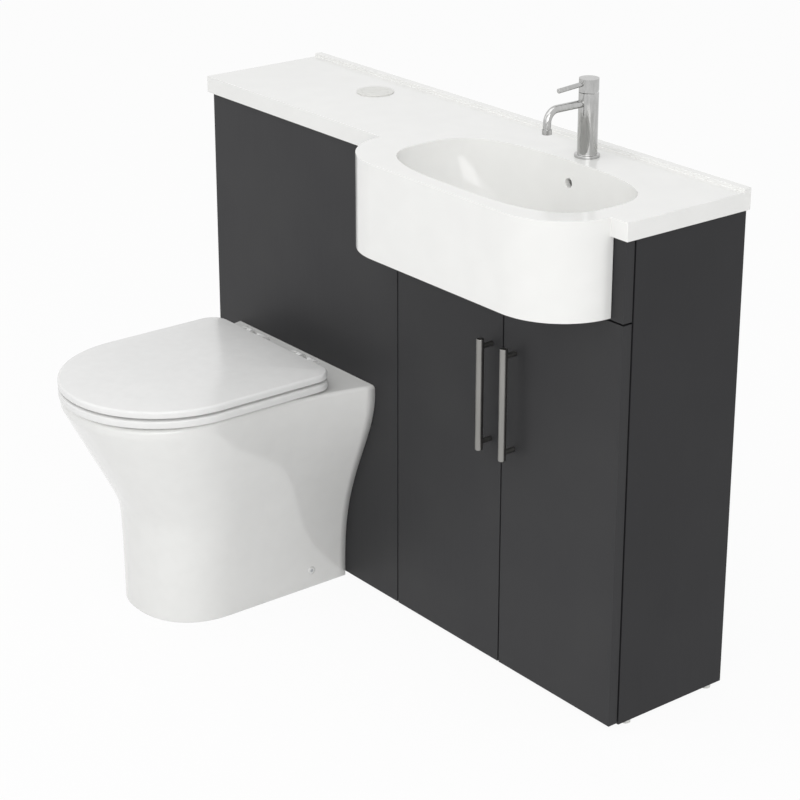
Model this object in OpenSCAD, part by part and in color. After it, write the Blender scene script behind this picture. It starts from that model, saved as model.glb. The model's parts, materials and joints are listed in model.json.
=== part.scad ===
// Toilet and basin combination unit: a toilet cabinet and a basin cabinet side by side
// under one moulded worktop, with a back-to-wall pan and its concealed cistern.
// X runs along the wall, the wall is at the back (+Y) and the floor is at Z = 0.

/* [Cabinets] */
// Width of the cabinet behind the toilet
wc_w = 550; // [520:10:650]
// Width of the cabinet under the basin
vanity_w = 550; // [520:10:620]
// Distance from the wall to the face of the doors and the front panel
run_d = 253; // [248:1:280]
// Height from the floor to the underside of the worktop
cab_h = 832; // [826:1:870]
// Thickness of the cabinet boards
board_t = 18; // [16:1:19]
// Gap between neighbouring doors, panels and fascia
front_gap = 3; // [2.5:0.5:4]
// Gap between the back of a door and the cabinet behind it
shut_gap = 2; // [1.5:0.5:2]
// Height of the lower edge of the doors and the front panel
front_z0 = 9; // [8:1:16]
// Height of the basin cabinet's fascia
fascia_h = 134; // [132:1:140]
// Height of the glides under the side boards
glide_h = 6; // [4:1:7]
// Height of the cross rails between the side boards
rail_h = 80; // [60:5:90]
// Radius of the wall screw holes in the rails
wall_hole_r = 3; // [2.5:0.5:4]
// Distance between the two wall screws of a cabinet
wall_hole_pitch = 360; // [300:10:400]

/* [Worktop and basin] */
// Length that the worktop stands past the cabinets at each end
top_over = 8; // [4:1:12]
// Depth that the worktop stands past the doors
top_front_over = 7; // [4:1:10]
// Thickness of the worktop
top_t = 30; // [26:1:34]
// Height of the raised lip along the back of the worktop
lip_h = 6; // [4:1:10]
// Depth of the raised lip, front to back
lip_d = 14; // [10:1:20]
// Distance that the basin stands out from the doors
apron_out = 118; // [100:1:130]
// Width of the basin's front
apron_w = 561; // [540:1:570]
// Distance from the middle of the basin cabinet to the middle of the basin's front
apron_shift = -33; // [-34:1:-20]
// Height of the basin's front below the underside of the worktop
apron_drop = 131; // [110:1:131]
// Wall thickness of the basin
basin_t = 12; // [9:1:14]
// Distance from the gap between the doors to the middle of the bowl, waste and tap
basin_shift = -14; // [-16:1:0]
// Half of the bowl's length along the wall
bowl_a = 224; // [190:1:226]
// Half of the bowl's depth, front to back
bowl_b = 118; // [108:1:120]
// Distance from the wall to the middle of the bowl's mouth
bowl_y = 225; // [222:1:228]
// Depth of the bowl
bowl_depth = 119; // [100:1:121]
// Half of the length of the bowl's floor
floor_a = 118; // [90:1:130]
// Half of the width of the bowl's floor
floor_b = 58; // [50:1:64]
// Distance from the wall to the waste
waste_y = 170; // [166:1:176]
// Radius of the waste hole
waste_hole_r = 22.5; // [22.5:0.5:24]
// Radius of the overflow hole
overflow_r = 8; // [6:0.5:10]
// Radius of the tap hole
tap_hole_r = 17.5; // [17:0.5:18]

/* [Tap] */
// Distance from the wall to the middle of the tap
tap_y = 69; // [66:1:71]
// Radius of the tap body
tap_r = 16.5; // [16:0.5:18]
// Height of the tap body above the worktop
tap_body_h = 107; // [98:1:115]
// Height of the spout's middle line above the worktop
spout_h = 90; // [78:1:91]
// Reach of the spout from the middle of the tap
spout_reach = 88; // [80:1:104]
// Radius of the spout tube
spout_r = 6.5; // [6:0.5:7.5]
// Radius of the spout's bend
spout_bend = 20; // [16:1:24]
// Height of the lever cap
cap_h = 22; // [20:1:26]
// Reach of the lever from the middle of the tap
lever_reach = 66; // [55:1:75]
// Radius of the lever rod
lever_r = 4; // [3:0.5:4.5]
// Angle that the lever lifts to full flow
lever_lift = 20; // [12:1:20]

/* [Doors] */
// Diameter of a handle bar
handle_d = 13; // [10:1:15]
// Length of a handle bar
handle_l = 195; // [150:1:220]
// Distance from the door to the middle of the handle bar
handle_out = 24; // [20:1:30]
// Distance from the gap between the doors to the middle of a handle
handle_in = 29; // [24:1:40]
// Height of the handles' middle
handle_z = 494; // [420:1:540]
// Height of the lower hinges above the doors' lower edge
hinge_inset = 100; // [90:1:140]
// Radius of a hinge cup
cup_r = 17.5; // [17:0.5:18]
// Depth of a hinge cup in the door
cup_depth = 12.5; // [12:0.5:13]
// Distance from the door's edge to the middle of a hinge cup
cup_inset = 21.5; // [21:0.5:22]

/* [Toilet pan] */
// Distance from the wall to the front of the seat and lid
reach = 735; // [715:5:755]
// Half of the width of the pan's foot
foot_hw = 119; // [105:1:130]
// Half of the width of the pan's rim beside the bowl
rim_hw = 178; // [170:1:182]
// Half of the width of the pan where it meets the front panel
back_hw = 211; // [190:1:215]
// Distance from the wall to the front of the pan's foot
foot_reach = 625; // [605:5:640]
// Height where the upright foot's front turns into the slope under the nose
crease_z = 190; // [170:5:210]
// Distance that the seat stands past the pan's rim at the front
rim_inset = 8; // [4:1:14]
// Height of the pan's rim
pan_h = 404; // [395:1:415]
// Wall thickness of the pan
pan_t = 13; // [11:1:15]
// Half of the width of the bowl's mouth
pan_bowl_hw = 112; // [100:1:116]
// Distance from the wall to the back of the bowl's mouth
pan_bowl_y0 = 400; // [392:1:408]
// Width of the rim in front of the bowl's mouth
rim_w = 52; // [48:1:60]
// Height of the middle of the soil outlet above the floor
soil_z = 180; // [175:1:190]
// Radius of the soil outlet spigot
spigot_r = 51; // [50:0.5:51]
// Height of the middle of the flush inlet above the floor
flush_z = 320; // [312:1:328]
// Radius of the flush inlet bore
flush_bore_r = 27.5; // [26:0.5:29]
// Distance between the two seat bolts
seat_bolt_pitch = 155; // [145:1:165]

/* [Seat and lid] */
// Half of the width of the seat and lid
seat_hw = 184; // [180:1:187]
// Distance from the front panel to the back edge of the seat and lid
seat_gap = 66; // [62:1:72]
// Thickness of the seat
seat_t = 15; // [13:1:18]
// Thickness of the lid at its edge
lid_t = 13; // [11:1:16]
// Rise of the lid's middle above its edge
lid_crown = 5; // [2:1:8]
// Thickness of the rubber buffers under the seat
seat_buffer_t = 4; // [3:0.5:5]
// Thickness of the rubber buffers under the lid
lid_buffer_t = 3; // [2:0.5:4]

/* [Cistern] */
// Width of the cistern
cistern_w = 360; // [330:5:400]
// Depth of the cistern, front to back
cistern_d = 140; // [130:1:150]
// Height of the cistern's floor above the floor of the room
cistern_z0 = 440; // [436:1:450]
// Height of the cistern
cistern_h = 340; // [320:1:345]
// Wall thickness of the cistern
cistern_t = 4; // [3:0.5:5]
// Radius of the flush valve's threaded tail
flush_tail_r = 29; // [28:0.5:30]
// Radius of the fill valve's threaded tail
fill_tail_r = 10.3; // [10:0.1:10.6]
// Radius of the flush pipe
flush_pipe_r = 22; // [20:0.5:23]
// Radius of the soil pipe
soil_pipe_r = 55; // [54.5:0.5:56]
// Radius of the opening for the flush buttons
button_r = 24; // [22:0.5:26]

/* [Waste] */
// Radius of the basin waste's threaded tube
waste_r = 22; // [21:0.5:22.2]
// Radius of the waste's flange in the bowl
waste_flange_r = 32; // [30:0.5:34]
// Travel of the click waste's plug
plug_travel = 7; // [5:1:9]
// Radius of the outlet pipe of the trap
trap_pipe_r = 20; // [18:0.5:21]
// Height of the middle of the trap's outlet above the floor
trap_z = 600; // [580:1:615]

/* [Fits] */
// Radial clearance of a turning or sliding fit
run_fit = 0.08; // [0.04:0.01:0.1]
// Clearance between fixed pieces that slip together
slip = 0.2; // [0.1:0.05:0.3]

/* [Hidden] */
$fn = 64;

PANEL_COLOUR = "#48484a";
BOARD_COLOUR = "#5a5a5c";
CERAMIC_COLOUR = "#f2f2f0";
METAL_COLOUR = "#a8a8a6";
PLASTIC_COLOUR = "#e4e4e0";
RUBBER_COLOUR = "#333333";

// Small length that carries a cut past the face it opens
past = 1;

// Cabinet lines
run_w = wc_w + vanity_w;
face_y = -run_d;
front_back_y = face_y + board_t;
carcass_y = front_back_y + shut_gap;
wc_x = wc_w / 2;
vanity_x = wc_w + vanity_w / 2;
basin_x = vanity_x + basin_shift;
fascia_z0 = cab_h - fascia_h;
front_z1 = fascia_z0 - front_gap;
top_gap = 1;
base_z = 20;
low_rail_z = 50;
upper_rail_z = 520;
wall_hole_drop = 35;
batten_w = 20;
fascia_batten_h = 88;
connector_r = 2.5;
connector_head_r = 6.5;
connector_head_t = 2;
connector_ys = [carcass_y + 43, -60];
connector_zs = [220, cab_h - 110];
glide_r = 8;
glide_inset = 25;
bumper_r = 4;
bumper_x = 60;

// Worktop lines
deck_z = cab_h + top_t;
lip_top = deck_z + lip_h;
apron_x = vanity_x + apron_shift;
apron_z0 = cab_h - apron_drop;
apron_clear = 1;
bowl_floor_z = deck_z - bowl_depth;
bowl_under_z = bowl_floor_z - basin_t;
bowl_power = 3;
bowl_rings = 9;
bowl_points = 48;
overflow_z = deck_z - 38;
overflow_duct_w = 40;
overflow_duct_d = 14;
bezel_flange_t = 2;
bezel_wall = 2.5;
button_y = -(cistern_d / 2 + board_t);

// Tap lines
cap_seat_z = deck_z + tap_body_h;
cap_gap = 1;
pivot_z = cap_seat_z + 8;
stem_r = 5;
stem_pin_r = 2;
stem_pin_l = 24;
pocket_half = 6.5;
pocket_y = 11;
pocket_top = 9;
cartridge_r = 12.5;
cartridge_h = 36;
lever_droop = 4;
lever_up = 8;
lever_root = 12;
relief_spare = 0.8;
tap_flange_r = 21;
tap_flange_h = 5;
aerator_h = 8;
aerator_t = 1.5;
spout_drop = 16;
tap_inlet_r = 5;
tap_inlet_x = 8;
tap_inlet_y = -5;
tap_inlet_l = 18;
stud_r = 4;
stud_y = 9;

// Hinge linkage, seen from above: x inwards from the cabinet's side, y back from the
// front edge of the side board
hinge_zs = [front_z0 + hinge_inset, front_z1 - hinge_inset];
arm_pin = [40.3, 12.2];
cup_pin = [14.3, -3.9];
link_knee = [25.7, -9.2];
link_t = 3;
link_w = 10;
knuckle_r = 3;
hinge_pin_r = 1.5;
cup_wall = 0.9;
cheek_t = 2;
cheek_r = 5;
arm_back = 62;
arm_plate_t = 4;
arm_plate_h = 44;
wing_h = 52;
wing_t = 0.8;

// Pan, seat and lid lines, measured forward from the wall
pan_reach = reach - rim_inset;
pan_steps = 12;
nose_points = 18;
side_points = 3;
side_flare = 1.5;
crease_soft = 18;
rim_lead = 16;
deck_t = 22;
hollow_steps = 4;
waist_y = 345;
nose_square = 2.25;
pan_bowl_steps = 7;
bowl_draw = 4.3;
pan_bowl_points = 24;
sump_y = pan_bowl_y0 + 115;
sump_z = 70;
sump_r = 40;
weir_z = 187;
trap_r = 36;
trap_wall = 9;
trap_level = 45;
trap_climb = 60;
trap_fall = 35;
trap_bend = 50;
trap_points = 14;
spigot_l = 55;
jet_r = 12;
jet_wall = 8;
jet_rise = 20;
spigot_past = 30;
spigot_wall = 7;
flush_bore_l = 42;
seat_back = run_d + seat_gap;
hinge_y = seat_back - 12;
seat_z0 = pan_h + seat_buffer_t;
lid_z0 = seat_z0 + seat_t + lid_buffer_t;
seat_pivot_z = seat_z0 + seat_t / 2 + 9;
seat_corner_r = 34;
seat_pin_r = 4;
knuckle_out_r = 9;
knuckle_bore_l = 120;
post_r = 13;
post_h = seat_pivot_z - pan_h;
seat_bolt_r = 4;
seat_bolt_hole_r = 7;
seat_bolt_tail = 24;
seat_nut_h = 12;
seat_nut_r = 13;
seat_ring_w = 62;
seat_back_w = 88;
buffer_r = 8;
fixing_y = 330;
fixing_z = 34;
bracket_t = 3;
bracket_l = 40;
floor_screw_hole_r = 4;
pan_screw_r = 3;

// Cistern lines
cistern_y = -(board_t + cistern_d / 2);
cistern_z1 = cistern_z0 + cistern_h;
cistern_corner_r = 24;
cistern_lid_t = 6;
nut_h = 10;
flush_tail_l = 40;
flush_head_z = cistern_z1 + 14;
flush_head_t = 8;
tower_r = 34;
tower_t = 3;
fill_x = -(cistern_w / 2 - 50);
fill_r = 13;
fill_tail_l = 45;
fill_thread_l = 30;
fill_shank_r = fill_tail_r + 0.7;
fill_flange_r = 17;
fill_shoulder_z = cistern_z0 + 40;
fill_valve_h = 250;
fill_top_z = cistern_z0 + fill_valve_h;
float_h = 60;
float_r = 26;
rod_r = 2.5;
rod_x = 12;
flush_bend = 48;
button_split = 4;
button_h = 16;

// Waste and trap lines
waste_tail_l = 66;
waste_wall = 2.5;
waste_nut_t = 10;
waste_washer_t = 3;
trap_r_out = 32;
trap_wall_t = 3;
trap_neck_l = 34;
trap_top_z = trap_z + 45;
trap_low_z = trap_z - 42;
cup_skirt = 16;
trap_branch_l = 22;
trap_stop_l = 4;
trap_tail_r = trap_pipe_r - 1.5;

// Moves the unit so that its origin is at the middle of its footprint on the floor
module place() {
    translate([-run_w / 2, reach / 2, 0])
        children();
}

// Board or block between two opposite corners
module block(low, high) {
    translate(low)
        cube(high - low);
}

// Round bar along +Y from a point
module bar_y(at, r, l) {
    translate(at)
        rotate([-90, 0, 0])
            cylinder(r = r, h = l);
}

// Round bar along +X from a point
module bar_x(at, r, l) {
    translate(at)
        rotate([0, 90, 0])
            cylinder(r = r, h = l);
}

// Tube standing on a point
module tube(at, r_out, r_in, h) {
    translate(at)
        difference() {
            cylinder(r = r_out, h = h);
            translate([0, 0, -past])
                cylinder(r = r_in, h = h + 2 * past);
        }
}

// Rectangle with round corners about the origin
module round_rect(w, d, r) {
    square([w - 2 * r, d], center = true);
    square([w, d - 2 * r], center = true);
    for (sx = [-1, 1], sy = [-1, 1])
        translate([sx * (w / 2 - r), sy * (d / 2 - r)])
            circle(r = r);
}

// Closed solid through a stack of rings with equal numbers of points, bottom ring first
module loft(rings) {
    n = len(rings[0]);
    m = len(rings);
    sides = [for (j = [0:m - 2], i = [0:n - 1])
        let (a = j * n + i, b = j * n + (i + 1) % n)
        each [[a, a + n, b], [b, a + n, b + n]]];
    low_cap = [for (i = [0:n - 1]) i];
    high_cap = [for (i = [n - 1:-1:0]) (m - 1) * n + i];
    polyhedron(points = [for (ring = rings) each ring],
        faces = concat([low_cap], sides, [high_cap]), convexity = 6);
}

function smooth(u) = u * u * (3 - 2 * u);
function signed_power(v, p) = sign(v) * pow(abs(v), p);

// Ring of a rounded rectangle-like oval
function oval_ring(x, y, a, b, power, z, n) = [for (i = [0:n - 1])
    let (t = 360 * i / n)
    [x + a * signed_power(cos(t), 2 / power), y + b * signed_power(sin(t), 2 / power), z]];

// ---------------------------------------------------------------- cabinets

module side_board(x) {
    block([x, carcass_y, glide_h], [x + board_t, 0, cab_h]);
}

module connector_holes(x) {
    for (y = connector_ys, z = connector_zs)
        bar_x([x - past, y, z], connector_r + slip, board_t + 2 * past);
}

module wc_side_left() {
    color(PANEL_COLOUR)
        side_board(0);
}

module wc_side_right() {
    color(BOARD_COLOUR)
        difference() {
            side_board(wc_w - board_t);
            connector_holes(wc_w - board_t);
        }
}

module vanity_side_left() {
    color(BOARD_COLOUR)
        difference() {
            side_board(wc_w);
            connector_holes(wc_w);
        }
}

module vanity_side_right() {
    color(PANEL_COLOUR)
        side_board(run_w - board_t);
}

// Rail against the wall between a cabinet's side boards, with its two wall screw holes
module wall_rail(x0, x1, z0) {
    difference() {
        block([x0, -board_t, z0], [x1, 0, z0 + rail_h]);
        for (s = [-1, 1])
            bar_y([(x0 + x1 + s * wall_hole_pitch) / 2, -board_t - past,
                z0 + rail_h - wall_hole_drop], wall_hole_r, board_t + 2 * past);
    }
}

module plain_rail(x0, x1, y0, z0, h) {
    block([x0, y0, z0], [x1, y0 + board_t, z0 + h]);
}

module wc_rails() {
    x0 = board_t;
    x1 = wc_w - board_t;
    color(BOARD_COLOUR) {
        wall_rail(x0, x1, cab_h - rail_h);
        plain_rail(x0, x1, -board_t, upper_rail_z, rail_h);
        plain_rail(x0, x1, -board_t, glide_h + base_z, rail_h / 2);
        plain_rail(x0, x1, carcass_y, cab_h - rail_h, rail_h);
    }
}

module wc_front_panel() {
    color(PANEL_COLOUR)
        difference() {
            block([front_gap / 2, face_y, front_z0],
                [wc_w - front_gap / 2, front_back_y, cab_h - top_gap]);
            bar_y([wc_x, face_y - past, soil_z], soil_pipe_r + 6, board_t + 2 * past);
            bar_y([wc_x, face_y - past, flush_z], flush_bore_r + 6, board_t + 2 * past);
        }
}

// Upright battens inside the side boards, which carry the front panel and the fascia
module panel_battens() {
    color(BOARD_COLOUR) {
        for (x = [board_t, wc_w - board_t - batten_w])
            block([x, front_back_y, front_z0 + base_z],
                [x + batten_w, front_back_y + batten_w, cab_h - rail_h - front_gap]);
        for (x = [wc_w + board_t, run_w - board_t - batten_w])
            block([x, front_back_y, fascia_z0 + batten_w],
                [x + batten_w, front_back_y + batten_w, fascia_z0 + fascia_batten_h]);
    }
}

module vanity_base() {
    color(BOARD_COLOUR)
        block([wc_w + board_t, carcass_y, base_z], [run_w - board_t, 0, base_z + board_t]);
}

module vanity_rails() {
    x0 = wc_w + board_t;
    x1 = run_w - board_t;
    front_h = 40;
    color(BOARD_COLOUR) {
        wall_rail(x0, x1, cab_h - rail_h);
        plain_rail(x0, x1, -board_t, low_rail_z, rail_h);
        plain_rail(x0, x1, carcass_y, fascia_z0 + batten_w - front_h, front_h);
    }
}

module vanity_fascia() {
    cut_edge = 24;
    color(PANEL_COLOUR)
        difference() {
            block([wc_w + front_gap / 2, face_y, fascia_z0],
                [run_w - front_gap / 2, front_back_y, cab_h - top_gap]);
            block([basin_x - bowl_a - basin_t - 8, face_y - past, fascia_z0 + cut_edge],
                [basin_x + bowl_a + basin_t + 8, front_back_y + past, cab_h + past]);
        }
}

// Two-headed sleeve bolts that draw the two cabinets together
module cabinet_connectors() {
    color(METAL_COLOUR)
        for (y = connector_ys, z = connector_zs) {
            bar_x([wc_w - board_t - connector_head_t, y, z], connector_r,
                2 * (board_t + connector_head_t));
            bar_x([wc_w - board_t - connector_head_t, y, z], connector_head_r,
                connector_head_t);
            bar_x([wc_w + board_t, y, z], connector_head_r, connector_head_t);
        }
}

module cabinet_glides() {
    color(PLASTIC_COLOUR)
        for (x = [0, wc_w - board_t, wc_w, run_w - board_t],
            y = [carcass_y + glide_inset, -glide_inset])
            translate([x + board_t / 2, y, 0])
                cylinder(r = glide_r, h = glide_h);
}

// Soft pads on the cabinet's front edges, which the shut doors rest on
module door_bumpers() {
    t = shut_gap - slip / 2;
    color(RUBBER_COLOUR)
        for (s = [-1, 1], z = [base_z + board_t / 2, fascia_z0 - front_gap - 10])
            bar_y([vanity_x + s * bumper_x, carcass_y - t, z], bumper_r, t);
}

// ---------------------------------------------------------- worktop and basin

// Plan of the basin's front: straight along the front with a quarter round at each end
module apron_plan(inset = 0) {
    r = apron_out - inset;
    half = apron_w / 2 - apron_out;
    intersection() {
        union() {
            for (s = [-1, 1])
                translate([apron_x + s * half, face_y])
                    circle(r = r, $fn = 96);
            translate([apron_x - half, face_y - r])
                square([2 * half, 2 * r]);
        }
        translate([apron_x - apron_w, face_y - apron_out - past])
            square([2 * apron_w, apron_out + past - max(apron_clear, inset / 3)]);
    }
}

function bowl_ring(grow, u, top_z) =
    let (c = cos(90 * u), s = sin(90 * u))
    oval_ring(basin_x, -(waste_y + 8) - (bowl_y - waste_y - 8) * c,
        floor_a + (bowl_a - floor_a) * c + grow, floor_b + (bowl_b - floor_b) * c + grow,
        bowl_power, top_z - (top_z - bowl_floor_z + grow) * s, bowl_points);

// The bowl's own shape, grown by the wall thickness for its underside
module bowl_form(grow, top_z) {
    loft([for (k = [bowl_rings:-1:0]) bowl_ring(grow, k / bowl_rings, top_z)]);
}

module worktop_basin() {
    color(CERAMIC_COLOUR)
        difference() {
            union() {
                block([-top_over, face_y - top_front_over, cab_h],
                    [run_w + top_over, 0, deck_z]);
                block([-top_over, -lip_d, deck_z - past], [run_w + top_over, 0, lip_top]);
                difference() {
                    translate([0, 0, apron_z0])
                        linear_extrude(deck_z - apron_z0)
                            apron_plan();
                    translate([0, 0, apron_z0 - past])
                        linear_extrude(cab_h - apron_z0 + past)
                            apron_plan(basin_t);
                }
                bowl_form(basin_t, deck_z - past);
                translate([basin_x, -(bowl_y - bowl_b - basin_t) + past, cab_h + past])
                    mirror([0, 0, 1])
                        linear_extrude(60)
                            round_rect(overflow_duct_w, overflow_duct_d, 5);
            }
            bowl_form(0, deck_z + past);
            translate([basin_x, -waste_y, bowl_under_z - 5])
                cylinder(r = waste_hole_r, h = 2 * basin_t);
            bar_y([basin_x, -(bowl_y - bowl_b) - 20, overflow_z], overflow_r,
                20 + basin_t);
            translate([basin_x, -(bowl_y - bowl_b - basin_t) + past, overflow_z + 4])
                mirror([0, 0, 1])
                    linear_extrude(50)
                        round_rect(overflow_duct_w - 8, overflow_duct_d - 6, 3);
            translate([basin_x, -tap_y, cab_h - past])
                cylinder(r = tap_hole_r, h = top_t + 2 * past);
            translate([wc_x, button_y, cab_h - past])
                cylinder(r = button_r + bezel_wall + slip, h = top_t + 2 * past);
        }
}

// ------------------------------------------------------------------------ tap

module tap_body() {
    color(METAL_COLOUR)
        translate([basin_x, -tap_y, 0])
            difference() {
                union() {
                    translate([0, 0, deck_z])
                        cylinder(r = tap_r, h = tap_body_h);
                    translate([0, 0, deck_z])
                        cylinder(r = tap_flange_r, h = tap_flange_h);
                }
                translate([0, 0, cap_seat_z - cartridge_h - 4])
                    cylinder(r = cartridge_r + slip, h = cartridge_h + 4 + past);
                bar_y([0, -tap_r - past, deck_z + spout_h], spout_r + slip / 4,
                    tap_r - cartridge_r / 2);
                for (s = [-1, 1])
                    translate([s * tap_inlet_x, tap_inlet_y, deck_z - past])
                        cylinder(r = tap_inlet_r, h = tap_inlet_l + past);
                translate([0, stud_y, deck_z - past])
                    cylinder(r = stud_r + run_fit, h = tap_inlet_l + past);
            }
}

// Spout: a level run from the body, a quarter bend and a short drop
module tap_spout() {
    run_end = spout_reach - spout_bend;
    root = cartridge_r + 1;
    color(METAL_COLOUR)
        translate([basin_x, -tap_y, deck_z + spout_h])
            difference() {
                union() {
                    bar_y([0, -run_end, 0], spout_r, run_end - root);
                    translate([0, -run_end, -spout_bend])
                        rotate([0, -90, 0])
                            rotate_extrude(angle = -90)
                                translate([spout_bend, 0])
                                    circle(r = spout_r);
                    translate([0, -spout_reach, -spout_bend - spout_drop])
                        cylinder(r = spout_r, h = spout_drop);
                }
                bar_y([0, -run_end, 0], spout_r - aerator_t, run_end);
                translate([0, -run_end, -spout_bend])
                    rotate([0, -90, 0])
                        rotate_extrude(angle = -90)
                            translate([spout_bend, 0])
                                circle(r = spout_r - aerator_t);
                translate([0, -spout_reach, -spout_bend - spout_drop - past])
                    cylinder(r = spout_r - aerator_t, h = spout_drop + past);
            }
}

module tap_aerator() {
    z0 = deck_z + spout_h - spout_bend - spout_drop - 2;
    color(METAL_COLOUR)
        translate([basin_x, -tap_y - spout_reach, z0])
            difference() {
                cylinder(r = spout_r + aerator_t, h = aerator_h);
                translate([0, 0, 2])
                    cylinder(r = spout_r + run_fit, h = aerator_h);
                for (k = [0:5])
                    rotate([0, 0, 60 * k])
                        translate([3.4, 0, -past])
                            cylinder(r = 1.2, h = 2 + 2 * past);
            }
}

module tap_cartridge() {
    color(PLASTIC_COLOUR)
        translate([basin_x, -tap_y, cap_seat_z - cartridge_h - 3])
            difference() {
                cylinder(r = cartridge_r, h = cartridge_h);
                translate([0, 0, cartridge_h / 2])
                    cylinder(r = stem_r + run_fit, h = cartridge_h);
            }
}

// Stem of the mixing cartridge with the cross pin that carries the lever cap
module tap_stem() {
    z0 = cap_seat_z - cartridge_h / 2 - 2;
    color(METAL_COLOUR) {
        translate([basin_x, -tap_y, z0])
            cylinder(r = stem_r, h = pivot_z + 5 - z0);
        bar_x([basin_x - stem_pin_l / 2, -tap_y, pivot_z], stem_pin_r, stem_pin_l);
    }
}

// Places a child in the lever's own axes, which meet the tilting pin
module at_lever() {
    translate([basin_x, -tap_y, pivot_z])
        children();
}

module lever_line(r, from, to) {
    translate([0, 0, lever_up])
        rotate([90 + lever_droop, 0, 0])
            translate([0, 0, from])
                cylinder(r = r, h = to - from);
}

module tap_lever_cap() {
    low = cap_seat_z + cap_gap - pivot_z;
    high = cap_seat_z + cap_gap + cap_h - pivot_z;
    color(METAL_COLOUR)
        at_lever()
            difference() {
                translate([0, 0, low])
                    cylinder(r = tap_r, h = high - low);
                // Relief that lets the back of the cap down as the lever lifts
                rotate([lever_lift + relief_spare, 0, 0])
                    block([-2 * tap_r, -2 * tap_r, low - 3 * tap_r], [2 * tap_r, 3 * tap_r, low]);
                block([-pocket_half, -pocket_y, low - past], [pocket_half, pocket_y, pocket_top]);
                bar_x([-stem_pin_l / 2 - slip, 0, 0], stem_pin_r + run_fit,
                    stem_pin_l + 2 * slip);
                lever_line(lever_r + slip / 4, lever_root, lever_reach);
            }
}

module tap_lever_rod() {
    color(METAL_COLOUR)
        at_lever()
            lever_line(lever_r, lever_root, lever_reach);
}

// Threaded stud, clamping washer and nut under the worktop
module tap_fixings() {
    washer_t = 3;
    color(METAL_COLOUR)
        translate([basin_x, -tap_y, 0]) {
            translate([0, stud_y, cab_h - 50])
                cylinder(r = stud_r, h = deck_z + tap_inlet_l - cab_h + 50);
            difference() {
                translate([0, 0, cab_h - washer_t])
                    cylinder(r = tap_hole_r + 5, h = washer_t);
                translate([0, stud_y, cab_h - washer_t - past])
                    cylinder(r = stud_r + slip, h = washer_t + 2 * past);
                block([-tap_inlet_x - 7, -tap_hole_r - 10, cab_h - washer_t - past],
                    [tap_inlet_x + 7, 3, cab_h + past]);
            }
            translate([0, stud_y, cab_h - washer_t - 7])
                difference() {
                    cylinder(r = 7, h = 7, $fn = 6);
                    translate([0, 0, -past])
                        cylinder(r = stud_r + run_fit, h = 7 + 2 * past);
                }
        }
}

// ------------------------------------------------------------ waste and trap

module waste_flange() {
    spider_z = bowl_floor_z - 26;
    color(METAL_COLOUR)
        translate([basin_x, -waste_y, 0]) {
            tube([0, 0, bowl_floor_z - waste_tail_l], waste_r, waste_r - waste_wall, waste_tail_l + 1);
            tube([0, 0, bowl_floor_z], waste_flange_r, waste_r - waste_wall, 2.5);
            difference() {
                union() {
                    translate([0, 0, spider_z])
                        cylinder(r = 8, h = 6);
                    for (a = [0, 60, 120])
                        rotate([0, 0, a])
                            translate([-waste_r + 1, -1.5, spider_z])
                                cube([2 * waste_r - 2, 3, 6]);
                }
                translate([0, 0, spider_z - past])
                    cylinder(r = 4 + run_fit, h = 6 + 2 * past);
            }
        }
}

module waste_plug() {
    plug_r = waste_flange_r - 4;
    seat = bowl_floor_z + 2.5 + slip;
    color(METAL_COLOUR)
        translate([basin_x, -waste_y, 0]) {
            translate([0, 0, seat])
                cylinder(r = plug_r, h = 3);
            translate([0, 0, bowl_floor_z - 32 - plug_travel])
                cylinder(r = 4, h = seat - bowl_floor_z + 33 + plug_travel);
        }
}

module waste_washer() {
    color(RUBBER_COLOUR)
        tube([basin_x, -waste_y, bowl_under_z - waste_washer_t], waste_r + 9,
            waste_r + slip, waste_washer_t);
}

module waste_backnut() {
    color(METAL_COLOUR)
        tube([basin_x, -waste_y, bowl_under_z - waste_washer_t - waste_nut_t], waste_r + 9,
            waste_r + run_fit, waste_nut_t);
}

// Bottle trap: a neck that grips the waste's tail, a bottle and a side branch
module trap_body() {
    neck_r = waste_r + slip + trap_wall_t;
    tail_z = bowl_floor_z - waste_tail_l;
    color(PLASTIC_COLOUR)
        translate([basin_x, -waste_y, 0])
            difference() {
                union() {
                    translate([0, 0, tail_z - 4])
                        cylinder(r = neck_r, h = trap_neck_l);
                    translate([0, 0, tail_z + 8])
                        cylinder(r = neck_r + 5, h = 16);
                    translate([0, 0, trap_low_z])
                        cylinder(r = trap_r_out, h = trap_top_z - trap_low_z);
                    translate([0, 0, trap_top_z - past])
                        cylinder(r = neck_r, h = tail_z - trap_top_z + past);
                    bar_y([0, 0, trap_z], trap_pipe_r + trap_wall_t, trap_r_out + trap_branch_l);
                }
                difference() {
                    translate([0, 0, trap_low_z - past])
                        cylinder(r = trap_r_out - trap_wall_t,
                            h = trap_top_z - trap_low_z - trap_wall_t);
                    translate([0, 0, trap_low_z + 14])
                        cylinder(r = waste_r - 2, h = trap_top_z - trap_low_z);
                }
                translate([0, 0, trap_low_z - past])
                    cylinder(r = waste_r - 5, h = tail_z - trap_low_z + past);
                translate([0, 0, tail_z - slip])
                    cylinder(r = waste_r + slip, h = trap_neck_l);
                bar_y([0, trap_r_out - 2 * trap_wall_t, trap_z], trap_pipe_r - trap_wall_t,
                    40);
                bar_y([0, trap_r_out + trap_stop_l, trap_z], trap_tail_r + slip, 40);
            }
}

module trap_cup() {
    color(PLASTIC_COLOUR)
        translate([basin_x, -waste_y, trap_low_z - 14])
            difference() {
                cylinder(r = trap_r_out + slip + 3, h = 14 + cup_skirt);
                translate([0, 0, 14])
                    cylinder(r = trap_r_out + slip, h = cup_skirt + past);
                translate([0, 0, 3])
                    cylinder(r = trap_r_out - 4, h = 14);
            }
}

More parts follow.
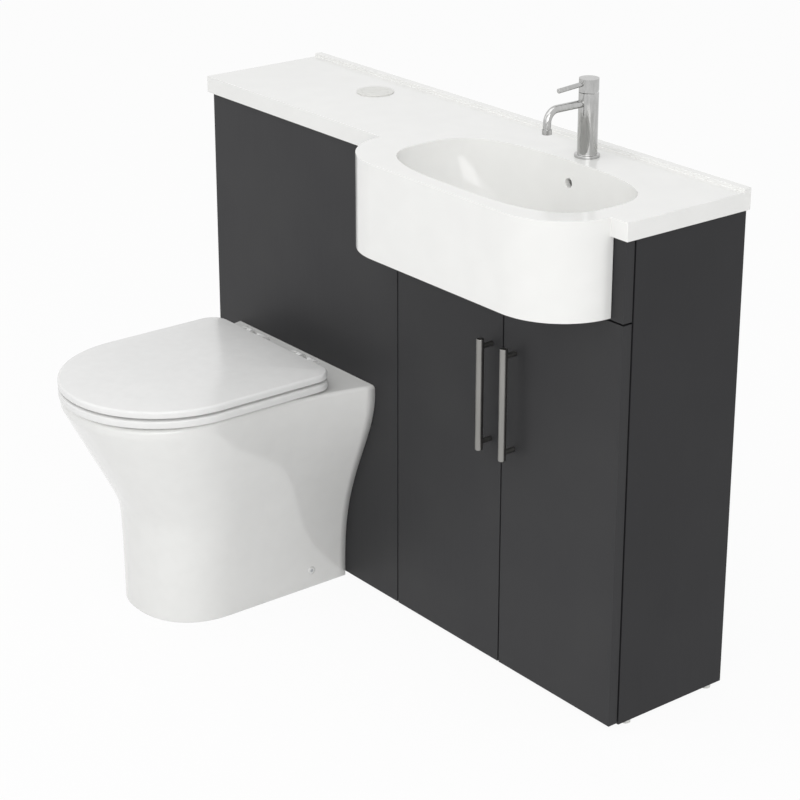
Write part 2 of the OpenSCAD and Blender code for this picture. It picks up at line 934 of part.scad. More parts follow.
// Pipe from the trap's branch to the wall, with a thinner end in the branch
module trap_outlet_pipe() {
    y0 = -waste_y + trap_r_out + trap_stop_l + slip;
    free_y = -waste_y + trap_r_out + trap_branch_l + slip;
    color(PLASTIC_COLOUR)
        difference() {
            union() {
                bar_y([basin_x, y0, trap_z], trap_tail_r, free_y - y0 + past);
                bar_y([basin_x, free_y, trap_z], trap_pipe_r, -free_y);
            }
            bar_y([basin_x, y0 - past, trap_z], trap_pipe_r - trap_wall_t, -y0 + 2 * past);
        }
}

// ---------------------------------------------------------------------- doors

// Draws a child for the left door, or its mirror image about the doors' gap
module hand(left) {
    if (left)
        children();
    else
        translate([2 * vanity_x, 0, 0])
            mirror([1, 0, 0])
                children();
}

// Places a child at each hinge of the left door, in the linkage's own axes
module at_hinges() {
    for (z = hinge_zs)
        translate([wc_w, carcass_y, z])
            children();
}

door_edge = front_gap / 2;
cup_x = door_edge + cup_inset;

module door(left) {
    hand(left)
        difference() {
            block([wc_w + door_edge, face_y, front_z0],
                [vanity_x - front_gap / 2, front_back_y, front_z1]);
            at_hinges()
                bar_y([cup_x, -shut_gap - cup_depth, 0], cup_r, cup_depth + past);
            handle_holes(2.2);
        }
}

module door_left() {
    color(PANEL_COLOUR)
        door(true);
}

module door_right() {
    color(PANEL_COLOUR)
        door(false);
}

// Steel cup with its fixing wings and the pin that the link turns on
module hinge_cup() {
    inner_r = cup_r - cup_wall;
    difference() {
        union() {
            bar_y([cup_x, -shut_gap - cup_depth, 0], cup_r, cup_depth);
            block([cup_x - 2, -shut_gap, -wing_h / 2], [cup_x + cup_r, -shut_gap + wing_t, wing_h / 2]);
        }
        bar_y([cup_x, -shut_gap - cup_depth + cup_wall, 0], inner_r, cup_depth + 2);
        for (s = [-1, 1])
            bar_y([cup_x + 9, -shut_gap - past, s * (wing_h / 2 - 4)], 2, wing_t + 2 * past);
    }
    translate([cup_pin.x, cup_pin.y, -cup_r + cup_wall / 2])
        intersection() {
            cylinder(r = hinge_pin_r, h = 2 * cup_r - cup_wall);
            translate([cup_x - cup_pin.x, 5, cup_r - cup_wall / 2])
                rotate([90, 0, 0])
                    cylinder(r = cup_r - cup_wall / 2, h = 10);
        }
}

// Flat bar of a link between two points seen from above
module link_leg(p, q) {
    d = q - p;
    translate(p)
        rotate(atan2(d.y, d.x))
            translate([0, -link_t / 2])
                square([norm(d), link_t]);
}

module hinge_link() {
    translate([0, 0, -link_w / 2])
        difference() {
            linear_extrude(link_w) {
                link_leg(cup_pin, link_knee);
                link_leg(link_knee, arm_pin);
                translate(link_knee)
                    circle(d = link_t);
                for (p = [cup_pin, arm_pin])
                    translate(p)
                        circle(r = knuckle_r);
            }
            for (p = [cup_pin, arm_pin])
                translate([p.x, p.y, -past])
                    cylinder(r = hinge_pin_r + run_fit, h = link_w + 2 * past);
        }
}

// Arm on its mounting plate, with two cheeks that hold the link's pin
module hinge_arm() {
    cheek_z = link_w / 2 + slip;
    block([board_t, arm_pin.y + 10, -arm_plate_h / 2],
        [board_t + arm_plate_t, arm_back, arm_plate_h / 2]);
    block([board_t + arm_plate_t, arm_pin.y + 14, -cheek_z - cheek_t],
        [arm_pin.x + cheek_r, arm_back, cheek_z + cheek_t]);
    for (s = [-1, 1])
        translate([0, 0, s * (cheek_z + cheek_t / 2) - cheek_t / 2]) {
            translate([arm_pin.x, arm_pin.y, 0])
                cylinder(r = cheek_r, h = cheek_t);
            block([arm_pin.x - cheek_r, arm_pin.y, 0],
                [arm_pin.x + cheek_r, arm_pin.y + 15, cheek_t]);
        }
    translate([arm_pin.x, arm_pin.y, -cheek_z - cheek_t])
        cylinder(r = hinge_pin_r, h = 2 * (cheek_z + cheek_t));
}

module hinge_arms() {
    color(METAL_COLOUR)
        for (left = [true, false])
            hand(left)
                at_hinges()
                    hinge_arm();
}

module hinge_cups_left() {
    color(METAL_COLOUR)
        at_hinges()
            hinge_cup();
}

module hinge_cups_right() {
    color(METAL_COLOUR)
        hand(false)
            at_hinges()
                hinge_cup();
}

module hinge_links_left() {
    color(METAL_COLOUR)
        at_hinges()
            hinge_link();
}

module hinge_links_right() {
    color(METAL_COLOUR)
        hand(false)
            at_hinges()
                hinge_link();
}

handle_x = vanity_x - handle_in;
post_in = 14;
screw_zs = [handle_z - handle_l / 2 + post_in, handle_z + handle_l / 2 - post_in];
screw_grip = 10;

module handle_holes(r) {
    for (z = screw_zs)
        bar_y([handle_x, face_y - past, z], r, board_t + 2 * past);
}

// Bar handle with a post near each end
module handle() {
    post_r = 4.5;
    difference() {
        union() {
            translate([handle_x, face_y - handle_out, handle_z - handle_l / 2])
                cylinder(d = handle_d, h = handle_l);
            for (z = screw_zs)
                bar_y([handle_x, face_y - handle_out, z], post_r, handle_out);
        }
        for (z = screw_zs)
            bar_y([handle_x, face_y - screw_grip, z], 2 + run_fit, screw_grip + past);
    }
}

module handle_screw_pair() {
    for (z = screw_zs) {
        bar_y([handle_x, face_y - screw_grip + 1, z], 2, board_t + screw_grip - 1);
        bar_y([handle_x, front_back_y, z], 4, 2.4);
    }
}

module handle_left() {
    color(METAL_COLOUR)
        handle();
}

module handle_right() {
    color(METAL_COLOUR)
        hand(false)
            handle();
}

module handle_screws_left() {
    color(METAL_COLOUR)
        handle_screw_pair();
}

module handle_screws_right() {
    color(METAL_COLOUR)
        hand(false)
            handle_screw_pair();
}

// ---------------------------------------------------------------- toilet pan

// How far the pan's sides have flared from foot to rim at a height, 0 to 1
function pan_flare(z) = smooth(min(1, pow(max(0, z) / (pan_h - rim_lead), side_flare)));

// Line that is level below the crease and climbs above it, with a soft turn between
function slope_out(z) =
    (sqrt(pow(z - crease_z, 2) + pow(crease_soft, 2)) + z - crease_z) / 2;

// How far the pan's front has sloped out from foot to rim at a height, 0 to 1
function nose_slope(z) =
    min(1, (slope_out(z) - slope_out(0)) / (slope_out(pan_h - rim_lead) - slope_out(0)));

// Ring of the pan's outside at a height, drawn in by an inset. Its sides run forward
// from the front panel, spreading towards the panel, to a squared round nose.
function pan_ring(z, inset, back) =
    let (side = pan_flare(z),
        hw = foot_hw + (rim_hw - foot_hw) * side - inset,
        bw = foot_hw + (back_hw - foot_hw) * side - inset,
        front = foot_reach + (pan_reach - foot_reach) * nose_slope(z) - inset,
        nose = hw * (1 + 0.05 * side),
        start = front - nose)
    [for (i = [0:side_points - 1])
        let (v = i / side_points, y = back + (start - back) * v)
        [wc_x - hw - (bw - hw) * spread(y), -y, z],
    for (i = [0:nose_points])
        let (a = 180 * i / nose_points)
        [wc_x - hw * signed_power(cos(a), 2 / nose_square),
            -start - nose * pow(sin(a), 2 / nose_square), z],
    for (i = [side_points - 1:-1:0])
        let (v = i / side_points, y = back + (start - back) * v)
        [wc_x + hw + (bw - hw) * spread(y), -y, z]];

// Share of the spread towards the panel at a distance from the wall
function spread(y) = pow(max(0, 1 - (y - run_d) / waist_y * 1.6), 2);

module pan_outside() {
    loft([for (k = [0:pan_steps]) pan_ring(pan_h * k / pan_steps, 0, run_d + slip)]);
}

// Open space under and behind the bowl
module pan_hollow() {
    top = pan_h - deck_t;
    loft([for (k = [0:hollow_steps])
        pan_ring(-past + (top + past) * k / hollow_steps, pan_t, run_d + pan_t)]);
}

// Ring of the bowl at a share of the way down: a squared oval that draws in to a round sump
function pan_bowl_ring(grow, u, top_z) =
    let (wide = pow(cos(90 * u), bowl_draw),
        mouth_l = (pan_reach - rim_w - pan_bowl_y0) / 2,
        mouth_y = pan_bowl_y0 + mouth_l)
    oval_ring(wc_x, -sump_y - (mouth_y - sump_y) * wide,
        sump_r + (pan_bowl_hw - sump_r) * wide + grow,
        sump_r + (mouth_l - sump_r) * wide + grow,
        2 + 0.3 * wide, top_z - (top_z - sump_z + grow) * sin(90 * u), pan_bowl_points);

module pan_bowl_form(grow, top_z) {
    loft([for (k = [pan_bowl_steps:-1:0]) pan_bowl_ring(grow, k / pan_bowl_steps, top_z)]);
}

// The waterway's middle line, in rows of its distance before the wall, its height and its
// climb: level under the bowl, up over the weir and down to the soil outlet
function ahead(row, l) = [row[0] + l * cos(row[2]), row[1] + l * sin(row[2]), row[2]];

function trap_arc(row, climb, n) =
    let (way = climb > row[2] ? trap_bend : -trap_bend)
    [for (i = [1:n])
        let (a = row[2] + (climb - row[2]) * i / n)
        [row[0] + way * (sin(a) - sin(row[2])), row[1] + way * (cos(row[2]) - cos(a)), a]];

function trap_rows(overrun) =
    let (start = [-sump_y, sump_z + trap_r, 0],
        dip = ahead(start, trap_level),
        up = trap_arc(dip, trap_climb, 3),
        climb_h = weir_z - sump_z - 2 * trap_bend * (1 - cos(trap_climb)),
        top = ahead(up[2], climb_h / sin(trap_climb)),
        over = trap_arc(top, -trap_fall, 4),
        fall_h = weir_z + trap_r - soil_z - 2 * trap_bend * (1 - cos(trap_fall)),
        low = ahead(over[3], fall_h / sin(trap_fall)),
        level = trap_arc(low, 0, 2))
    concat([start, dip], up, [top], over, [low], level, [ahead(level[1], overrun)]);

module trapway(grow, overrun) {
    r = trap_r + grow;
    loft([for (row = trap_rows(overrun))
        [for (i = [0:trap_points - 1])
            let (a = 360 * i / trap_points)
            [wc_x + r * cos(a), row[0] + r * sin(a) * sin(row[2]),
                row[1] - r * sin(a) * cos(row[2])]]]);
}

// The pan is one cast piece: a shell with the bowl, the waterway, the soil spigot and the
// flush inlet in it
module pan_casting() {
    difference() {
        union() {
            difference() {
                pan_outside();
                pan_hollow();
            }
            pan_bowl_form(pan_t, pan_h - deck_t / 2);
            trapway(trap_wall, 1);
            bar_y([wc_x, -run_d - spigot_l, soil_z], spigot_r, spigot_l + spigot_past);
            bar_y([wc_x, -run_d - flush_bore_l - 6, flush_z], flush_bore_r + 9,
                flush_bore_l + 6 - slip);
            bar_y([wc_x, -pan_bowl_y0 - 8, flush_z + jet_rise], jet_r + jet_wall,
                pan_bowl_y0 + 8 - run_d - flush_bore_l);
        }
        pan_bowl_form(0, pan_h + past);
        trapway(0, 6);
        bar_y([wc_x, -run_d - spigot_l - past + spigot_wall, soil_z], spigot_r - spigot_wall,
            spigot_l + spigot_past + 2 * past);
        bar_y([wc_x, -run_d - flush_bore_l, flush_z], flush_bore_r, flush_bore_l + past);
        bar_y([wc_x, -pan_bowl_y0 - 30, flush_z + jet_rise], jet_r,
            pan_bowl_y0 + 34 - run_d - flush_bore_l);
        for (s = [-1, 1]) {
            translate([wc_x + s * seat_bolt_pitch / 2, -hinge_y, pan_h - deck_t - past])
                cylinder(r = seat_bolt_hole_r, h = deck_t + 2 * past);
            bar_x([wc_x + s * foot_hw - 30, -fixing_y, fixing_z], pan_screw_r + slip, 60);
        }
    }
}

module toilet_pan() {
    color(CERAMIC_COLOUR)
        resize([0, 0, 0])
            pan_casting($fn = 28);
}

// Angle brackets screwed to the floor inside the pan, and the screws through its sides
module pan_fixings() {
    inner = foot_hw - pan_t;
    color(METAL_COLOUR)
        for (s = [-1, 1])
            translate([wc_x, -fixing_y, 0])
                scale([s, 1, 1])
                    union() {
                        difference() {
                            union() {
                                block([inner - 36, -bracket_l / 2, 0],
                                    [inner - slip, bracket_l / 2, bracket_t]);
                                block([inner - slip - bracket_t, -bracket_l / 2, 0],
                                    [inner - slip, bracket_l / 2, fixing_z + 14]);
                            }
                            translate([inner - 22, 0, -past])
                                cylinder(r = floor_screw_hole_r, h = bracket_t + 2 * past);
                        }
                        bar_x([inner - 12, 0, fixing_z], pan_screw_r, pan_t + 14);
                    }
}

// ------------------------------------------------------------- seat and lid

// Plan of the seat and lid: a straight back, straight sides and a round nose
module seat_plan(inset = 0) {
    hw = seat_hw - inset;
    nose_y = reach - seat_hw;
    r = seat_corner_r;
    translate([0, -nose_y])
        circle(r = hw, $fn = 96);
    translate([-hw, -nose_y])
        square([2 * hw, nose_y - seat_back - inset - r]);
    translate([-hw + r, -nose_y])
        square([2 * (hw - r), nose_y - seat_back - inset]);
    for (s = [-1, 1])
        translate([s * (hw - r), -seat_back - inset - r])
            circle(r = r);
}

// Hinge knuckles at each side of a post: a near pair for the seat, a far pair for the lid
module knuckles(first, last, z_from) {
    for (s = [-1, 1])
        translate([s * seat_bolt_pitch / 2, 0, 0])
            for (t = [-1, 1])
                translate([t * (first + last) / 2, 0, 0]) {
                    bar_x([-(last - first) / 2, -hinge_y, seat_pivot_z], knuckle_out_r, last - first);
                    block([-(last - first) / 2, -seat_back - 14, z_from],
                        [(last - first) / 2, -hinge_y, z_from + 9]);
                }
}

module knuckle_bores() {
    for (s = [-1, 1])
        bar_x([s * seat_bolt_pitch / 2 - knuckle_bore_l / 2, -hinge_y, seat_pivot_z],
            seat_pin_r + run_fit, knuckle_bore_l);
}

post_half = 10;
seat_knuckle = [post_half + 0.5, post_half + 12];
lid_knuckle = [post_half + 12.5, post_half + 24];

module seat_hinge_posts() {
    color(METAL_COLOUR)
        translate([wc_x, 0, 0])
            for (s = [-1, 1])
                translate([s * seat_bolt_pitch / 2, 0, 0]) {
                    translate([0, -hinge_y, pan_h])
                        cylinder(r = post_half, h = post_h);
                    translate([0, -hinge_y, pan_h])
                        cylinder(r = post_r, h = 3);
                    bar_x([-lid_knuckle[1], -hinge_y, seat_pivot_z], seat_pin_r, 2 * lid_knuckle[1]);
                    translate([0, -hinge_y, pan_h - deck_t - seat_bolt_tail])
                        cylinder(r = seat_bolt_r, h = deck_t + seat_bolt_tail + 1);
                    translate([0, -hinge_y, pan_h - deck_t - seat_nut_h])
                        cylinder(r = seat_nut_r, h = seat_nut_h);
                }
}

module toilet_seat() {
    color(CERAMIC_COLOUR)
        translate([wc_x, 0, 0])
            difference() {
                union() {
                    translate([0, 0, seat_z0])
                        linear_extrude(seat_t)
                            difference() {
                                seat_plan();
                                seat_hole_plan();
                            }
                    knuckles(seat_knuckle[0], seat_knuckle[1], seat_z0 + seat_t - 9);
                }
                knuckle_bores();
                hinge_notches();
            }
}

// The opening through the seat: an oval made of two half rounds and the straight between
module seat_hole_plan() {
    r = seat_hw - seat_ring_w;
    front = reach - seat_ring_w - r;
    back = seat_back + seat_back_w + r;
    for (y = [front, back])
        translate([0, -y])
            circle(r = r);
    translate([-r, -front])
        square([2 * r, front - back]);
}

// Clearance in the seat's back edge for the posts
module hinge_notches() {
    for (s = [-1, 1])
        block([s * seat_bolt_pitch / 2 - post_half - 0.5, -hinge_y - post_half - 8, pan_h - past],
            [s * seat_bolt_pitch / 2 + post_half + 0.5, -hinge_y + 20, lid_z0 + 60]);
}

module seat_buffers() {
    nose_y = reach - seat_hw;
    r = seat_hw - seat_ring_w / 2;
    color(RUBBER_COLOUR)
        for (a = [-50, 50, -125, 125])
            translate([wc_x + r * sin(a), -nose_y - r * cos(a) + (abs(a) > 90 ? 60 : 0), pan_h])
                cylinder(r = buffer_r, h = seat_buffer_t);
}

// Ring of the lid, drawn in by an inset, for its rounded edge and crowned top
function lid_ring(inset, z) =
    let (hw = seat_hw - inset, nose_y = reach - seat_hw, back = seat_back + inset,
        r = max(4, seat_corner_r - inset))
    [for (i = [0:6])
        let (a = 90 * i / 6)
        [wc_x - hw + r - r * sin(a), -back - r + r * cos(a), z],
    for (i = [0:nose_points])
        let (a = 180 * i / nose_points)
        [wc_x - hw * cos(a), -nose_y - hw * sin(a), z],
    for (i = [6:-1:0])
        let (a = 90 * i / 6)
        [wc_x + hw - r + r * sin(a), -back - r + r * cos(a), z]];

module toilet_lid() {
    edge_r = 5;
    shape = [[2, 0], [0, 3], [0, lid_t - edge_r], [1.5, lid_t - 1.5], [edge_r, lid_t],
        [40, lid_t + lid_crown * 0.55], [90, lid_t + lid_crown * 0.9], [150, lid_t + lid_crown]];
    color(CERAMIC_COLOUR)
        difference() {
            union() {
                loft([for (p = shape) lid_ring(p[0], lid_z0 + p[1])]);
                translate([wc_x, 0, 0])
                    knuckles(lid_knuckle[0], lid_knuckle[1], lid_z0);
            }
            translate([wc_x, 0, 0])
                knuckle_bores();
        }
}

module lid_buffers() {
    nose_y = reach - seat_hw;
    r = seat_hw - seat_ring_w / 2;
    color(RUBBER_COLOUR)
        for (a = [-35, 35])
            translate([wc_x + r * sin(a), -nose_y - r * cos(a), seat_z0 + seat_t + slip / 2])
                cylinder(r = buffer_r, h = lid_buffer_t - slip / 2);
}

// ------------------------------------------------------------------- cistern

module cistern_tank() {
    color(PLASTIC_COLOUR)
        translate([wc_x, cistern_y, cistern_z0])
            difference() {
                linear_extrude(cistern_h)
                    round_rect(cistern_w, cistern_d, cistern_corner_r);
                translate([0, 0, cistern_t])
                    linear_extrude(cistern_h)
                        round_rect(cistern_w - 2 * cistern_t, cistern_d - 2 * cistern_t,
                            cistern_corner_r - cistern_t);
                translate([0, 0, -past])
                    cylinder(r = flush_tail_r + slip, h = cistern_t + 2 * past);
                translate([fill_x, 0, -past])
                    cylinder(r = fill_shank_r + slip, h = cistern_t + 2 * past);
            }
}

module cistern_lid() {
    color(PLASTIC_COLOUR)
        translate([wc_x, cistern_y, cistern_z1])
            difference() {
                union() {
                    linear_extrude(cistern_lid_t)
                        round_rect(cistern_w, cistern_d, cistern_corner_r);
                    translate([0, 0, -8])
                        linear_extrude(9)
                            round_rect(cistern_w - 2 * cistern_t - 2 * slip,
                                cistern_d - 2 * cistern_t - 2 * slip, cistern_corner_r - cistern_t);
                }
                translate([0, 0, -8 - past])
                    linear_extrude(8 + past)
                        round_rect(cistern_w - 4 * cistern_t, cistern_d - 4 * cistern_t,
                            cistern_corner_r - 2 * cistern_t);
                translate([0, 0, -past])
                    cylinder(r = tower_r + slip, h = cistern_lid_t + 2 * past);
            }
}

module fill_valve() {
    floor_z = cistern_z0 + cistern_t;
    color(PLASTIC_COLOUR)
        translate([wc_x + fill_x, cistern_y, 0]) {
            translate([0, 0, cistern_z0 - fill_tail_l])
                cylinder(r = fill_tail_r, h = fill_thread_l + 1);
            translate([0, 0, cistern_z0 - fill_tail_l + fill_thread_l])
                cylinder(r = fill_shank_r, h = fill_tail_l - fill_thread_l + cistern_t + 1);
            translate([0, 0, floor_z])
                cylinder(r = fill_flange_r, h = 4);
            translate([0, 0, floor_z])
                cylinder(r = fill_r, h = fill_top_z - floor_z);
            translate([0, 0, fill_shoulder_z])
                cylinder(r = fill_r + 4, h = 4);
            translate([0, 0, fill_top_z - 1])
                cylinder(r = fill_r + 7, h = 24);
            tube([0, 0, cistern_z0 - nut_h], fill_shank_r + 6, fill_shank_r + run_fit, nut_h);
        }
}

module fill_float() {
    color(PLASTIC_COLOUR)
        tube([wc_x + fill_x, cistern_y, fill_shoulder_z + 4 + slip], float_r,
            fill_r + run_fit, float_h);
}

// Flush valve: a windowed tower on a threaded tail, with guides for the buttons' rods
module flush_valve() {
    floor_z = cistern_z0 + cistern_t;
    tail_bore_r = flush_pipe_r + slip;
    color(PLASTIC_COLOUR)
        translate([wc_x, cistern_y, 0]) {
            difference() {
                union() {
                    translate([0, 0, cistern_z0 - flush_tail_l])
                        cylinder(r = flush_tail_r, h = flush_tail_l + cistern_t + 1);
                    translate([0, 0, floor_z])
                        cylinder(r = tower_r + 6, h = 5);
                    translate([0, 0, floor_z])
                        cylinder(r = tower_r, h = flush_head_z + flush_head_t - floor_z);
                }
                translate([0, 0, cistern_z0 - flush_tail_l - past])
                    cylinder(r = tail_bore_r, h = flush_tail_l + cistern_t + 6 + past);
                translate([0, 0, floor_z + 5])
                    cylinder(r = tower_r - tower_t, h = flush_head_z - floor_z - 5);
                for (a = [0, 60, 120])
                    rotate([0, 0, a])
                        block([-tower_r - past, -9, floor_z + 12],
                            [tower_r + past, 9, floor_z + 42]);
                for (s = [-1, 1])
                    translate([s * rod_x, 0, flush_head_z - past])
                        cylinder(r = rod_r + run_fit, h = flush_head_t + 2 * past);
            }
            tube([0, 0, cistern_z0 - nut_h], flush_tail_r + 10, flush_tail_r + run_fit, nut_h);
        }
}

// Seal and lift tube that rise inside the tower to let the water out
module flush_seal() {
    seat_z = cistern_z0 + cistern_t + 5 + slip;
    top_z = flush_head_z - 40;
    r = tower_r - tower_t - 0.3;
    color(RUBBER_COLOUR)
        translate([wc_x, cistern_y, 0]) {
            translate([0, 0, seat_z])
                cylinder(r = r, h = 5);
            translate([0, 0, seat_z])
                cylinder(r = 9, h = top_z - seat_z);
            translate([0, 0, top_z - 5])
                cylinder(r = r, h = 5);
        }
}

module flush_bezel() {
    color(CERAMIC_COLOUR)
        translate([wc_x, button_y, 0]) {
            tube([0, 0, cab_h - 8], button_r + bezel_wall, button_r, top_t + 9);
            tube([0, 0, deck_z], button_r + bezel_wall + 7, button_r, bezel_flange_t);
            tube([0, 0, cab_h - 5], button_r + bezel_wall + 7, button_r + bezel_wall + run_fit, 5);
        }
}

// Part-round button in the bezel with its push rod, on one side of the split
module flush_button(side) {
    r = button_r - run_fit;
    top_z = deck_z + bezel_flange_t;
    near = side > 0 ? button_split + slip : -button_split + slip;
    rod_low = flush_head_z - 3;
    translate([wc_x, button_y, 0]) {
        intersection() {
            translate([0, 0, top_z - button_h])
                cylinder(r = r, h = button_h);
            if (side > 0)
                block([near, -r, top_z - button_h], [r, r, top_z]);
            else
                block([-r, -r, top_z - button_h], [-near, r, top_z]);
        }
        translate([side * rod_x, 0, rod_low])
            cylinder(r = rod_r, h = top_z - button_h + 1 - rod_low);
    }
}

module flush_button_full() {
    color(CERAMIC_COLOUR)
        flush_button(-1);
}

module flush_button_half() {
    color(CERAMIC_COLOUR)
        flush_button(1);
}

// Flush pipe from the valve's tail, down and forward through the panel into the pan
module flush_pipe() {
    top_z = cistern_z0 - flush_tail_l / 2;
    end_y = -run_d - flush_bore_l + 8;
    bend_y = cistern_y - flush_bend;
    module run(r) {
        translate([wc_x, cistern_y, flush_z + flush_bend])
            cylinder(r = r, h = top_z - flush_z - flush_bend);
        translate([wc_x, bend_y, flush_z + flush_bend])
            rotate([0, 90, 0])
                rotate_extrude(angle = 90)
                    translate([flush_bend, 0])
                        circle(r = r);
        bar_y([wc_x, end_y, flush_z], r, bend_y - end_y);
    }
    color(PLASTIC_COLOUR)
        difference() {
            run(flush_pipe_r);
            run(flush_pipe_r - 2.5);
            bar_y([wc_x, end_y - past, flush_z], flush_pipe_r - 2.5, 2 * past);
            translate([wc_x, cistern_y, top_z - past])
                cylinder(r = flush_pipe_r - 2.5, h = 2 * past);
        }
}

module flush_cone() {
    color(RUBBER_COLOUR)
        translate([wc_x, -run_d - slip, flush_z])
            rotate([90, 0, 0]) {
                tube([0, 0, 0], flush_bore_r - slip, flush_pipe_r + run_fit, flush_bore_l - 12);
                tube([0, 0, -3], flush_bore_r + 4, flush_pipe_r + run_fit, 3);
            }
}

// Soil pipe connector from the pan's spigot to the wall
module pan_connector() {
    inner_r = spigot_r + slip;
    y0 = -run_d + 2;
    color(PLASTIC_COLOUR)
        difference() {
            union() {
                bar_y([wc_x, y0, soil_z], soil_pipe_r, -y0);
                bar_y([wc_x, y0, soil_z], soil_pipe_r + 4, 10);
            }
            bar_y([wc_x, y0 - past, soil_z], inner_r, -y0 + 2 * past);
        }
}

place() wc_side_left();
place() wc_side_right();
place() wc_rails();
place() wc_front_panel();
place() panel_battens();
place() vanity_side_left();
place() vanity_side_right();
place() vanity_base();
place() vanity_rails();
place() vanity_fascia();
place() cabinet_connectors();
place() cabinet_glides();
place() door_bumpers();
place() worktop_basin();
place() tap_body();
place() tap_spout();
place() tap_aerator();
place() tap_cartridge();
place() tap_stem();
place() tap_lever_cap();
place() tap_lever_rod();
place() tap_fixings();
place() waste_flange();
place() waste_plug();
place() waste_washer();
place() waste_backnut();
place() trap_body();
place() trap_cup();
place() trap_outlet_pipe();
place() door_left();
place() door_right();
place() hinge_arms();
place() hinge_cups_left();
place() hinge_cups_right();
place() hinge_links_left();
place() hinge_links_right();
place() handle_left();
place() handle_right();
place() handle_screws_left();
place() handle_screws_right();
place() toilet_pan();
place() pan_fixings();
place() seat_hinge_posts();
place() toilet_seat();
place() seat_buffers();
place() toilet_lid();
place() lid_buffers();
place() cistern_tank();
place() cistern_lid();
place() fill_valve();
place() fill_float();
place() flush_valve();
place() flush_seal();
place() flush_bezel();
place() flush_button_full();
place() flush_button_half();
place() flush_pipe();
place() flush_cone();
place() pan_connector();
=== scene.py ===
"""Looks of a slim toilet and basin combination unit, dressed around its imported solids.

Two grey cabinets stand side by side under one moulded white top with its basin. A
back-to-wall pan with a seat and lid stands before the left one. All lengths are metres.
"""

import json
import logging
import math
from dataclasses import dataclass, field
from enum import Enum
from typing import Any, Sequence

import bmesh
import bpy
import numpy as np
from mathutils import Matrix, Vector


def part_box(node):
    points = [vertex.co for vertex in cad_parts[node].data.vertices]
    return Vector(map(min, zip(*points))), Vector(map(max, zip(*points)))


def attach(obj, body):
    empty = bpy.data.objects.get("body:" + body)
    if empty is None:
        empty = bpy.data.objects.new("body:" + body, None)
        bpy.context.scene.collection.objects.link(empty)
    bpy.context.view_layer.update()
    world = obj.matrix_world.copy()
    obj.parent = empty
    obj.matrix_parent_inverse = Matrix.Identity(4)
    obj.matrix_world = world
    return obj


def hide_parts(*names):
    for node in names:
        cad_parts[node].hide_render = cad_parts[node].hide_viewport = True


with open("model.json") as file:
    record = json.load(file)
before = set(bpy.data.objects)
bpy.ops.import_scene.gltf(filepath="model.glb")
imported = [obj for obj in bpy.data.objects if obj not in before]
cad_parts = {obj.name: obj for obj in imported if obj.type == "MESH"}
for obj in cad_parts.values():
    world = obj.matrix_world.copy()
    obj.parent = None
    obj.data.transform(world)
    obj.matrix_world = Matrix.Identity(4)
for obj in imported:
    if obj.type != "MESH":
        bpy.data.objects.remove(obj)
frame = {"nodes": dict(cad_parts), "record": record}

LOG = logging.getLogger("combination_unit")
MM = 0.001


class Slot(Enum):
    """Material slots of the record, by the surface that takes them."""

    FRONT = "grey_front"
    SIDE = "grey_side"
    CARCASS = "grey_carcass"
    TOP = "marble_resin"
    CHINA = "vitreous_china"
    SEAT = "seat_plastic"
    PLASTIC = "white_plastic"
    CHROME = "chrome"
    HANDLE = "satin_handle"
    ZINC = "zinc_steel"
    RUBBER = "black_rubber"


class Hand(Enum):
    """Which of the two doors a piece belongs to."""

    LEFT = "left"
    RIGHT = "right"


# ------------------------------------------------------------------ surfaces in numpy


@dataclass
class Shell:
    """A closed surface: its points, and its faces as rows of four or three indices."""

    points: np.ndarray
    quads: np.ndarray
    tris: np.ndarray = field(default_factory=lambda: np.zeros((0, 3), int))

    def volume(self) -> float:
        """Signed volume: each face's triangles summed as tetrahedra from the origin."""
        tris = np.vstack([self.quads[:, [0, 1, 2]], self.quads[:, [0, 2, 3]], self.tris])
        a, b, c = (self.points[tris[:, k]] for k in range(3))
        return float(np.einsum("ij,ij->i", a, np.cross(b, c)).sum() / 6.0)

    def outward(self) -> "Shell":
        """The same surface with its faces pointing outwards."""
        if self.volume() < 0:
            return Shell(self.points, self.quads[:, ::-1], self.tris[:, ::-1])
        return self


def grid_quads(rows: int, cols: int, looped: bool) -> np.ndarray:
    """Quads of a grid whose columns close round, and whose rows may close too.

    Args:
        rows: number of rings.
        cols: points on each ring.
        looped: whether the last ring joins the first.

    Returns:
        One row of four point indices for each quad.
    """
    row = np.arange(rows if looped else rows - 1)[:, None]
    col = np.arange(cols)[None, :]
    after, beside = (row + 1) % rows * cols, (col + 1) % cols
    here = row * cols
    corners = [here + col, here + beside, after + beside, after + col]
    return np.stack([c.ravel() for c in corners], axis=1)


def ring_shell(rings: np.ndarray, looped: bool = False) -> Shell:
    """Closed surface through a stack of rings.

    Args:
        rings: array of rings, points and coordinates.
        looped: True where the last ring joins the first, as on a hollow wall. Where it
            is False, each end is closed by triangles to the middle of its ring.

    Returns:
        The surface, facing outwards.
    """
    rows, cols = rings.shape[:2]
    points = rings.reshape(-1, 3)
    quads = grid_quads(rows, cols, looped)
    if looped:
        return Shell(points, quads).outward()
    middles = rings[[0, -1]].mean(axis=1)
    i = np.arange(cols)
    j = (i + 1) % cols
    last = (rows - 1) * cols
    low = np.stack([np.full(cols, rows * cols), j, i], axis=1)
    high = np.stack([np.full(cols, rows * cols + 1), last + i, last + j], axis=1)
    return Shell(np.vstack([points, middles]), quads, np.vstack([low, high])).outward()


